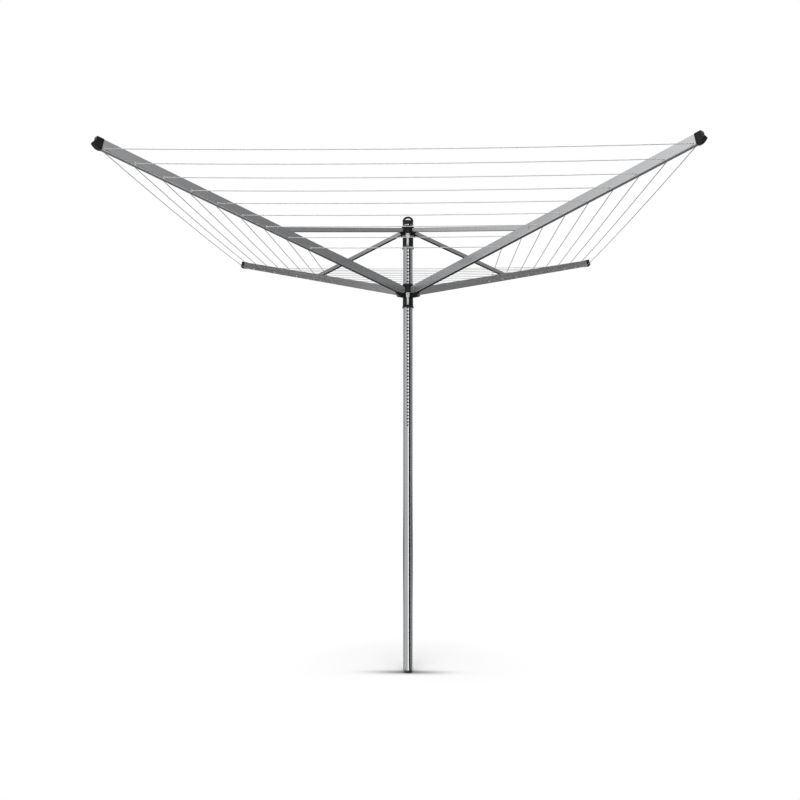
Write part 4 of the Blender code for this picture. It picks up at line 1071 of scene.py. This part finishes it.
arm_bar = channel_bar(ARM_HALF_WIDTH, HALF_HEIGHT, ARM_WALL, 0.0022, arm_ends, np.linspace(0, 1, 16))
arm_pin = pin_along_side(0.003, 0.0046, 0.0012, 2 * (ARM_HALF_WIDTH + GAP))
arm_frames = {
    name: frame_of(azimuth, ARM_SLOPE, root_radius, root_height) for name, azimuth in arm_azimuths.items()
}
for name, (axes, origin) in arm_frames.items():
    body = "arm_" + name
    piece(
        body + "_channel", [moved(arm_bar, axes, origin)], arm_metal, body,
        replaces=[body],
    )
    piece(
        "arm_root_pin_" + name, [moved(arm_pin, axes, origin)], zinc_steel, "carriage",
        replaces=["arm_pin_" + name],
    )


# Arm end caps. A black nylon cap closes each arm's end. It grips the channel
# outside, and ends in a beak with a shallow pocket in its face.

def cap_face(height):
    """How far a cap reaches past its start at each height: a beak with a horn above it."""
    heights = [-0.0200, -0.0184, -0.0150, -0.0100, -0.0060, 0.0, 0.0090, 0.0130, 0.0200]
    reaches = [0.0120, 0.0172, 0.0222, 0.0298, 0.0320, 0.0291, 0.0240, 0.0245, 0.0245]
    return np.interp(height, heights, reaches)


def rounded_box(half_width, half_height, corner):
    """A rounded rectangle of (y, z) points with densely divided sides."""
    corners = [(half_width, -half_height), (half_width, half_height),
               (-half_width, half_height), (-half_width, -half_height)]
    outline = filleted(corners, corner, 6)
    closed = np.concatenate([outline, outline[:1]])
    along = distances(closed)
    even = np.linspace(0, along[-1], 88, endpoint=False)
    return np.stack([np.interp(even, along, closed[:, axis]) for axis in (0, 1)], axis=-1)


def end_cap_shell():
    """A cap as one closed surface: socket floor, mouth, outside, beak, pocket wall, pocket floor."""
    half_width, half_height, edge = 0.0130, 0.0200, 0.0013
    levels = []

    def level(section, x):
        levels.append(np.column_stack([np.broadcast_to(x, len(section)), section]))

    arm_side, arm_tall = ARM_HALF_WIDTH + GAP, HALF_HEIGHT + GAP
    socket = rounded_box(arm_side, arm_tall, 0.0020)
    level(socket, ARM_END + GAP - 0.0005)
    level(socket, CAP_START)
    level(rounded_box(half_width - 0.0006, half_height - 0.0006, 0.0024), CAP_START)
    full = rounded_box(half_width, half_height, 0.0030)
    reach = cap_face(full[:, 1])
    for share in (0.06, 0.35, 0.7):
        level(full, CAP_START + share * (reach - edge))
    for angle in np.linspace(0, math.pi / 2, 5):
        inward = edge * (1 - math.cos(angle))
        ring = rounded_box(half_width - inward, half_height - inward, 0.0030 - inward)
        level(ring, CAP_START + cap_face(full[:, 1]) - edge * (1 - math.sin(angle)))
    for share in (0.35, 0.7, 1.0):
        ring = ring * (1 - share) + rounded_box(0.0088, 0.0098, 0.0030) * share
        level(ring, CAP_START + cap_face(ring[:, 1]))
    level(rounded_box(0.0083, 0.0093, 0.0028), CAP_START + cap_face(ring[:, 1]) - 0.0006)
    level(rounded_box(0.0080, 0.0090, 0.0026), ARM_END + GAP + 0.0034)
    return grid(np.stack(levels), close_ends=True)


CAP_START = ARM_END - 0.016
cap_plastic = plastic("end_cap_plastic", (0.006, 0.006, 0.0065), (0.016, 0.016, 0.017), 0.36, 0.12)
cap_shell = end_cap_shell()
for name, (axes, origin) in arm_frames.items():
    piece(
        "arm_end_cap_" + name, [moved(cap_shell, axes, origin)], cap_plastic, "arm_" + name,
        replaces=["end_cap_" + name],
    )


# Struts. Each strut is a smaller channel, open below. A steel rivet with a
# nylon spacer at each side joins it to the arm, and a pin to the crown.

strut_hinge = joints["strut_hinge_back_right"]["pos_m"]
rivet_out, rivet_up = math.hypot(strut_hinge[0], strut_hinge[1]), strut_hinge[2]
strut_run, strut_rise = rivet_out - pivot_radius, crown_pivot - rivet_up
strut_length = math.hypot(strut_run, strut_rise)
STRUT_HALF = 0.009
STRUT_HALF_WIDTH = 0.007
STRUT_WALL = 0.0012
STRUT_BEND = 0.0018
RIVET_OUT = 0.689
strut_outside = 4 * STRUT_HALF + 2 * STRUT_HALF_WIDTH - (4 - math.pi) * STRUT_BEND
# A strut channel's inside is painted near-black as shade.
strut_metal = aluminium(
    "strut_aluminium", (0.72, 0.73, 0.74), (0.82, 0.83, 0.84), 0.22, dust=0.15, inside=strut_outside,
)


def strut_ends(height, floor):
    """A strut's ends at each height: half circles about its two pins."""
    rounding = np.sqrt(np.maximum(STRUT_HALF ** 2 - height ** 2, 0))
    return -rounding, strut_length + rounding


strut_bar = channel_bar(
    STRUT_HALF_WIDTH, STRUT_HALF, STRUT_WALL, STRUT_BEND, strut_ends, np.linspace(0, 1, 10),
)
strut_bar = outward(strut_bar[0] * [1, 1, -1], strut_bar[1], strut_bar[2])
SPACER_FACES = (0.0073, 0.0090)
rivet = pin_along_side(0.0025, 0.0042, 0.0013, 2 * (ARM_HALF_WIDTH + GAP))
strut_pin = pin_along_side(0.002, 0.0032, 0.001, 2 * (STRUT_HALF_WIDTH + GAP))
for name, azimuth in arm_azimuths.items():
    axes, origin = frame_of(azimuth + math.pi, math.atan2(strut_rise, strut_run), -rivet_out, rivet_up)
    body = "strut_" + name
    piece(
        body + "_channel", [moved(strut_bar, axes, origin)], strut_metal, body,
        replaces=[body],
    )
    at_crown = origin + axes @ [strut_length, 0, 0]
    piece(
        "strut_crown_pin_" + name, [moved(strut_pin, axes, at_crown)], zinc_steel, body,
        replaces=["strut_pin_" + name],
    )
    axes, origin = arm_frames[name]
    at_rivet = origin + axes @ [RIVET_OUT, 0, 0]
    piece(
        "strut_arm_rivet_" + name, [moved(rivet, axes, at_rivet)], zinc_steel, "arm_" + name,
        replaces=["strut_rivet_" + name],
    )
    spacers = []
    for side in (-1, 1):
        inner_face, outer_face = (at_rivet + axes @ [0, side * reach, 0] for reach in SPACER_FACES)
        spacers.append(tube_along(inner_face, outer_face, 0.0052, 0.0028))
    piece("strut_spacers_" + name, spacers, latch_plastic, "arm_" + name)


# Line eyelets. A light grey nylon eyelet is pressed into each line hole, nine
# on each side of an arm, and keeps the sheet's edge off the line.

LINE_DROP = 0.012
FIRST_LINE = 1.398
LINE_PITCH = 0.1095
LINE_RINGS = 9
line_spots = FIRST_LINE - LINE_PITCH * np.arange(LINE_RINGS)
eyelet_plastic = plastic(
    "eyelet_plastic", (0.52, 0.53, 0.53), (0.62, 0.63, 0.63), 0.38, 0.12, (0.4, 0.4, 0.4),
)
EYELET_HALF_WIDTH = 0.0025
EYELET_HALF_HEIGHT = 0.0042
eyelet_path = np.insert(oval(EYELET_HALF_WIDTH, EYELET_HALF_HEIGHT, 28), 1, 0, axis=1)
eyelet_ring = swept(eyelet_path, oval(0.0008, 0.0007, 8), (0, 1, 0), closed=True)
for name, (axes, origin) in arm_frames.items():
    shells = [
        moved(eyelet_ring, axes, origin + axes @ [out, side * (ARM_HALF_WIDTH + 0.0002), -LINE_DROP])
        for out in line_spots for side in (-1, 1)
    ]
    piece("line_eyelets_" + name, shells, eyelet_plastic, "arm_" + name)


# Washing line. One plastic-coated line, 3 mm thick and 50 m long, runs through
# the arms in nine square rings and steps in from ring to ring inside one arm.
# Each half of a span follows its own arm, and gathers in as the arms fold.

def coated_line(name):
    """Soft coated line: a faint twist of the core shows through, with grime in the twist.

    The twist is a sine of 1400 times the length along plus the angle round the line.
    """
    material = bpy.data.materials.new(name)
    material.use_nodes = True
    tree = material.node_tree
    shader = tree.nodes["Principled BSDF"]
    flat = node(tree, "SeparateXYZ", {0: node(tree, "TexCoord").outputs["UV"]})
    along = node(tree, "Math", {0: flat.outputs["X"], 1: 1400.0}, operation="MULTIPLY")
    round_it = node(tree, "Math", {0: flat.outputs["Y"], 1: 1 / LINE_RADIUS}, operation="MULTIPLY")
    twisted = node(tree, "Math", {0: along.outputs[0], 1: round_it.outputs[0]}, operation="ADD")
    twist = node(tree, "Math", {0: twisted.outputs[0]}, operation="SINE")
    lay = node(tree, "MapRange", {"Value": twist.outputs[0], "From Min": -1.0})
    spot = node(tree, "TexCoord").outputs["Object"]
    grime = node(tree, "TexNoise", {"Vector": spot, "Scale": 14.0, "Detail": 6.0, "Roughness": 0.7})
    shade = node(tree, "Math", {0: lay.outputs[0], 1: grime.outputs["Fac"]}, operation="MULTIPLY")
    colour = shaded(tree, (0.34, 0.34, 0.34), (0.48, 0.48, 0.475), shade.outputs[0], at=(0.0, 0.6))
    tree.links.new(colour, shader.inputs["Base Color"])
    rough = node(tree, "MapRange", {"Value": grime.outputs["Fac"], "To Min": 0.34, "To Max": 0.60})
    tree.links.new(rough.outputs[0], shader.inputs["Roughness"])
    relief = node(tree, "Bump", {"Height": lay.outputs[0], "Strength": 0.25, "Distance": 0.0002})
    tree.links.new(relief.outputs["Normal"], shader.inputs["Normal"])
    shader.inputs["IOR"].default_value = 1.5
    return material


def spot_on(name, out, across):
    """A point of the line at an arm, out along it and across it."""
    axes, origin = arm_frames[name]
    return origin + axes @ [out, across, -LINE_DROP]


def half_span(start, end, steps=12):
    """Half a sagging span: a parabola with a sag of 0.0025 times the square of its length."""
    share = np.linspace(0, 0.5, steps)[:, None]
    sag = LINE_SAG * ((end - start) ** 2).sum()
    return start * (1 - share) + end * share - np.array([0, 0, 4 * sag]) * share * (1 - share)


LINE_RADIUS = 0.0015
LINE_SAG = 0.0025
LINE_OUTSIDE = ARM_HALF_WIDTH + 0.002
LINE_CORNER = 0.005
KNOT_RADIUS = 0.0036
KNOT_CORD = 0.0011
line_round = oval(LINE_RADIUS, LINE_RADIUS, 8)
corner_angle = np.linspace(0, math.pi / 2, 6)
corner = LINE_CORNER * (1 - np.stack([np.cos(corner_angle), np.sin(corner_angle)], axis=-1))
line_coat = coated_line("line_coat")
names = list(arm_frames)
fold_turn = math.radians(joints["arm_hinge_back_right"]["range_deg"][1])
for number, name in enumerate(names):
    for side, towards in ((1, names[(number + 1) % 4]), (-1, names[(number - 1) % 4])):
        axes, origin = arm_frames[name]
        azimuth = arm_azimuths[name]
        mirror = azimuth + side * math.pi / 4
        normal = np.array([-math.sin(mirror), math.cos(mirror), 0.0])
        folded, folded_origin = frame_of(azimuth, ARM_SLOPE + fold_turn, root_radius, root_height)
        for group, spots in zip(("outer", "middle", "inner"), line_spots.reshape(3, 3)):
            shells, keeps = [], []
            for out in spots:
                start = spot_on(name, out, side * LINE_OUTSIDE)
                end = spot_on(towards, out, -side * LINE_OUTSIDE)
                path = half_span(start, end)
                shells.append(swept(path, line_round, (0, 0, 1)))
                along = axes[:, 0]
                across = unit(unit(end - start) - unit(end - start) @ along * along)
                turn = folded @ axes.T
                reach = path[-1] - start
                there = folded_origin + turn @ (start - origin)
                keeps.append(
                    -(there @ normal + (reach @ along) * (folded[:, 0] @ normal))
                    / ((reach @ across) * ((turn @ across) @ normal))
                )
            made = piece(
                "line_%s_%s_%s" % (group, name, "left" if side > 0 else "right"), shells, line_coat,
                "arm_" + name, replaces=["washing_line"],
            )
            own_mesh(made)
    crossings = []
    for ring, out in enumerate(line_spots):
        if name != names[0]:
            start, end = spot_on(name, out, -LINE_OUTSIDE), spot_on(name, out, LINE_OUTSIDE)
            crossings.append(swept(np.linspace(start, end, 5), line_round, (0, 0, 1)))
            continue
        first = spot_on(name, out, LINE_OUTSIDE)
        last = spot_on(name, out, -LINE_OUTSIDE)
        if ring == 0:
            crossings.append(swept(np.linspace(spot_on(name, out, 0.001), first, 4), line_round, (0, 0, 1)))
        if ring == LINE_RINGS - 1:
            crossings.append(swept(np.linspace(last, spot_on(name, out, -0.001), 4), line_round, (0, 0, 1)))
            continue
        after = line_spots[ring + 1]
        route = [last]
        for cut, rise in corner:
            route.append(spot_on(name, out - cut, -rise))
        for cut, rise in corner:
            route.append(spot_on(name, after + rise, cut))
        route.append(spot_on(name, after, LINE_OUTSIDE))
        crossings.append(swept(np.array(route), line_round, (0, 0, 1)))
    piece(
        "line_crossings_" + name, crossings, line_coat, "arm_" + name,
        replaces=["washing_line"],
    )


# The knots are trefoils: (sin t + 2 sin 2t, -1.2 sin 3t, cos t - 2 cos 2t).
turn = np.linspace(0, math.tau, 73)[:-1]
trefoil = np.stack([
    np.sin(turn) + 2 * np.sin(2 * turn), -1.2 * np.sin(3 * turn), np.cos(turn) - 2 * np.cos(2 * turn),
], axis=-1) * (KNOT_RADIUS - KNOT_CORD) / 3
knot = swept(trefoil, oval(KNOT_CORD, KNOT_CORD, 10), (0, 1, 0.01), closed=True)
axes, origin = arm_frames[names[0]]
for label, out, across in (("outer", line_spots[0], 0.002), ("inner", line_spots[-1], -0.002)):
    piece(
        "line_stopper_knot_" + label, [moved(knot, axes, spot_on(names[0], out, across))], line_coat,
        "arm_" + names[0], replaces=["line_knot_" + label],
    )


# Studio. A pale floor, soft light from above and the front, and the viewpoint. What the
# metal reflects is painted on the world and the floor by direction: an angle
# from the front, growing to the right, with a dark strip right of the front.

def painted_walls(tree, place):
    """The grey that metal sees in a direction, from a ramp over atan2(x, -y)."""
    way = node(tree, "SeparateXYZ", {0: place})
    ahead = node(tree, "Math", {0: way.outputs["Y"], 1: -1.0}, operation="MULTIPLY")
    angle = node(tree, "Math", {0: way.outputs["X"], 1: ahead.outputs[0]}, operation="ARCTAN2")
    share = node(tree, "MapRange", {"Value": angle.outputs[0], "From Min": -math.pi, "From Max": math.pi})
    wall = node(tree, "ValToRGB", {"Fac": share.outputs[0]})
    ramp = wall.color_ramp
    while len(ramp.elements) < len(WALL_GREYS):
        ramp.elements.new(0.5)
    for stop, (degrees, grey) in zip(ramp.elements, WALL_GREYS):
        stop.position = (degrees + 180) / 360
        stop.color = (grey, grey, grey * 1.01, 1.0)
    return wall.outputs["Color"]


WALL_GREYS = (
    (-180, 0.10), (-165, 0.12), (-140, 0.75), (-112, 0.80), (-107, 0.04), (-98, 0.14), (-90, 0.52),
    (-78, 0.70), (-70, 1.10), (-54, 0.52), (-28, 0.74), (-4, 0.62), (6, 1.85), (20, 1.95), (24, 0.0),
    (61, 0.0), (65, 0.75), (72, 0.30), (80, 0.23), (92, 0.25), (102, 0.03), (108, 0.90), (140, 0.85),
    (165, 0.12), (180, 0.10),
)
FLOOR_HALF = 40.0
floor_mesh = bpy.data.meshes.new("floor")
floor_mesh.from_pydata(
    [(-FLOOR_HALF, -FLOOR_HALF, 0), (FLOOR_HALF, -FLOOR_HALF, 0),
     (FLOOR_HALF, FLOOR_HALF, 0), (-FLOOR_HALF, FLOOR_HALF, 0)],
    [], [(0, 1, 2, 3)],
)
floor = bpy.data.objects.new("floor", floor_mesh)
bpy.context.scene.collection.objects.link(floor)
floor_paint = bpy.data.materials.new("floor_paint")
floor_paint.use_nodes = True
tree = floor_paint.node_tree
tree.nodes.remove(tree.nodes["Principled BSDF"])
spot = node(tree, "TexCoord").outputs["Object"]
matt = node(tree, "BsdfDiffuse", {"Color": (0.93, 0.93, 0.93, 1.0)})
white = node(tree, "Emission", {"Color": (1.0, 1.0, 1.0, 1.0)})
away = node(tree, "VectorMath", {0: spot}, operation="LENGTH")
far = node(tree, "MapRange", {"Value": away.outputs["Value"], "From Min": 0.12, "From Max": 0.6})
open_floor = node(tree, "MixShader", {0: far.outputs[0], 1: matt.outputs[0], 2: white.outputs[0]})

# The painted contact shadow beside the foot is a bell curve, long sideways and shallow:
# SHADE exp(-(x / SHADE_LENGTH)^2 / 2 - (y / SHADE_DEPTH)^2 / 2).
SHADE = 0.72
SHADE_LENGTH = 0.11
SHADE_DEPTH = 0.02
scaled = node(
    tree, "VectorMath", {0: spot, 1: (1 / SHADE_LENGTH, 1 / SHADE_DEPTH, 0.0)}, operation="MULTIPLY",
)
squared = node(tree, "VectorMath", {0: scaled.outputs[0], 1: scaled.outputs[0]}, operation="DOT_PRODUCT")
halved = node(tree, "Math", {0: squared.outputs["Value"], 1: -0.5}, operation="MULTIPLY")
bell = node(tree, "Math", {0: halved.outputs[0]}, operation="EXPONENT")
shade = node(tree, "Math", {0: bell.outputs[0], 1: SHADE}, operation="MULTIPLY")
dark = node(tree, "Emission", {"Color": (0.0, 0.0, 0.0, 1.0)})
seen = node(tree, "MixShader", {0: shade.outputs[0], 1: open_floor.outputs[0], 2: dark.outputs[0]})

# Behind the mast a dark strip is painted into what the floor gives off for reflections and bounce light; the
# undersides of the arms reflect it.
depth = node(tree, "SeparateXYZ", {0: spot}).outputs["Y"]
before = node(
    tree, "MapRange", {"Value": depth, "From Min": 1.0, "From Max": 1.4, "To Min": 1.0, "To Max": 0.0},
)
beyond = node(tree, "MapRange", {"Value": depth, "From Min": 3.6, "From Max": 4.2})
clear = node(tree, "Math", {0: before.outputs[0], 1: beyond.outputs[0]}, operation="MAXIMUM")
strength = node(tree, "MapRange", {"Value": clear.outputs[0], "To Min": 0.12, "To Max": 1.0})
mirrored = node(tree, "Emission", {"Color": painted_walls(tree, spot), "Strength": strength.outputs[0]})
looked_at = node(tree, "LightPath").outputs["Is Camera Ray"]
cover = node(tree, "MixShader", {0: looked_at, 1: mirrored.outputs[0], 2: seen.outputs[0]})
tree.links.new(cover.outputs[0], tree.nodes["Material Output"].inputs["Surface"])
floor_mesh.materials.append(floor_paint)

AMBIENT = 0.22
world = bpy.data.worlds.new("studio")
bpy.context.scene.world = world
world.use_nodes = True
tree = world.node_tree
rays = node(tree, "LightPath")
walls = painted_walls(tree, node(tree, "TexCoord").outputs["Generated"])

# Only what metal mirrors directly is painted; a mirror's mirror image is the plain grey.
first = node(tree, "Math", {0: rays.outputs["Glossy Depth"], 1: 1.5}, operation="LESS_THAN")
mirror = node(tree, "Math", {0: rays.outputs["Is Glossy Ray"], 1: first.outputs[0]}, operation="MULTIPLY")
lit = colour_mix(tree, (AMBIENT, AMBIENT, AMBIENT), walls, mirror.outputs[0])
shown = colour_mix(tree, lit, (1.0, 1.0, 1.0), rays.outputs["Is Camera Ray"])
tree.links.new(shown, tree.nodes["Background"].inputs["Color"])


def soft_panel(name, place, target, width, height, power):
    """A rectangular area light turned towards a point, unseen in reflections."""
    lamp = bpy.data.lights.new(name, "AREA")
    lamp.shape = "RECTANGLE"
    lamp.size, lamp.size_y = width, height
    lamp.energy = power
    holder = bpy.data.objects.new(name, lamp)
    holder.location = place
    axes = axes_along(np.asarray(place, float) - np.asarray(target, float))
    holder.rotation_euler = Matrix(axes.tolist()).to_euler()
    holder.visible_glossy = False
    bpy.context.scene.collection.objects.link(holder)


soft_panel("top_panel", (0, -1.2, 5.5), (0, 0, 0), 3.0, 3.0, 290)
soft_panel("front_panel", (-0.6, -5.5, 2.4), (0, 0, 1.6), 2.4, 2.0, 70)

view = bpy.data.cameras.new("camera")
view.sensor_width = 36.0
view.lens = 35.685
view.shift_x = -0.0231
view.shift_y = 0.0339
camera = bpy.data.objects.new("camera", view)
camera.location = (0.1423, -3.6595, 1.1315)
camera.rotation_euler = (math.pi / 2, 0, math.atan2(0.0256, 0.9997))
bpy.context.scene.collection.objects.link(camera)
bpy.context.scene.camera = camera
bpy.context.scene.view_settings.view_transform = "Standard"
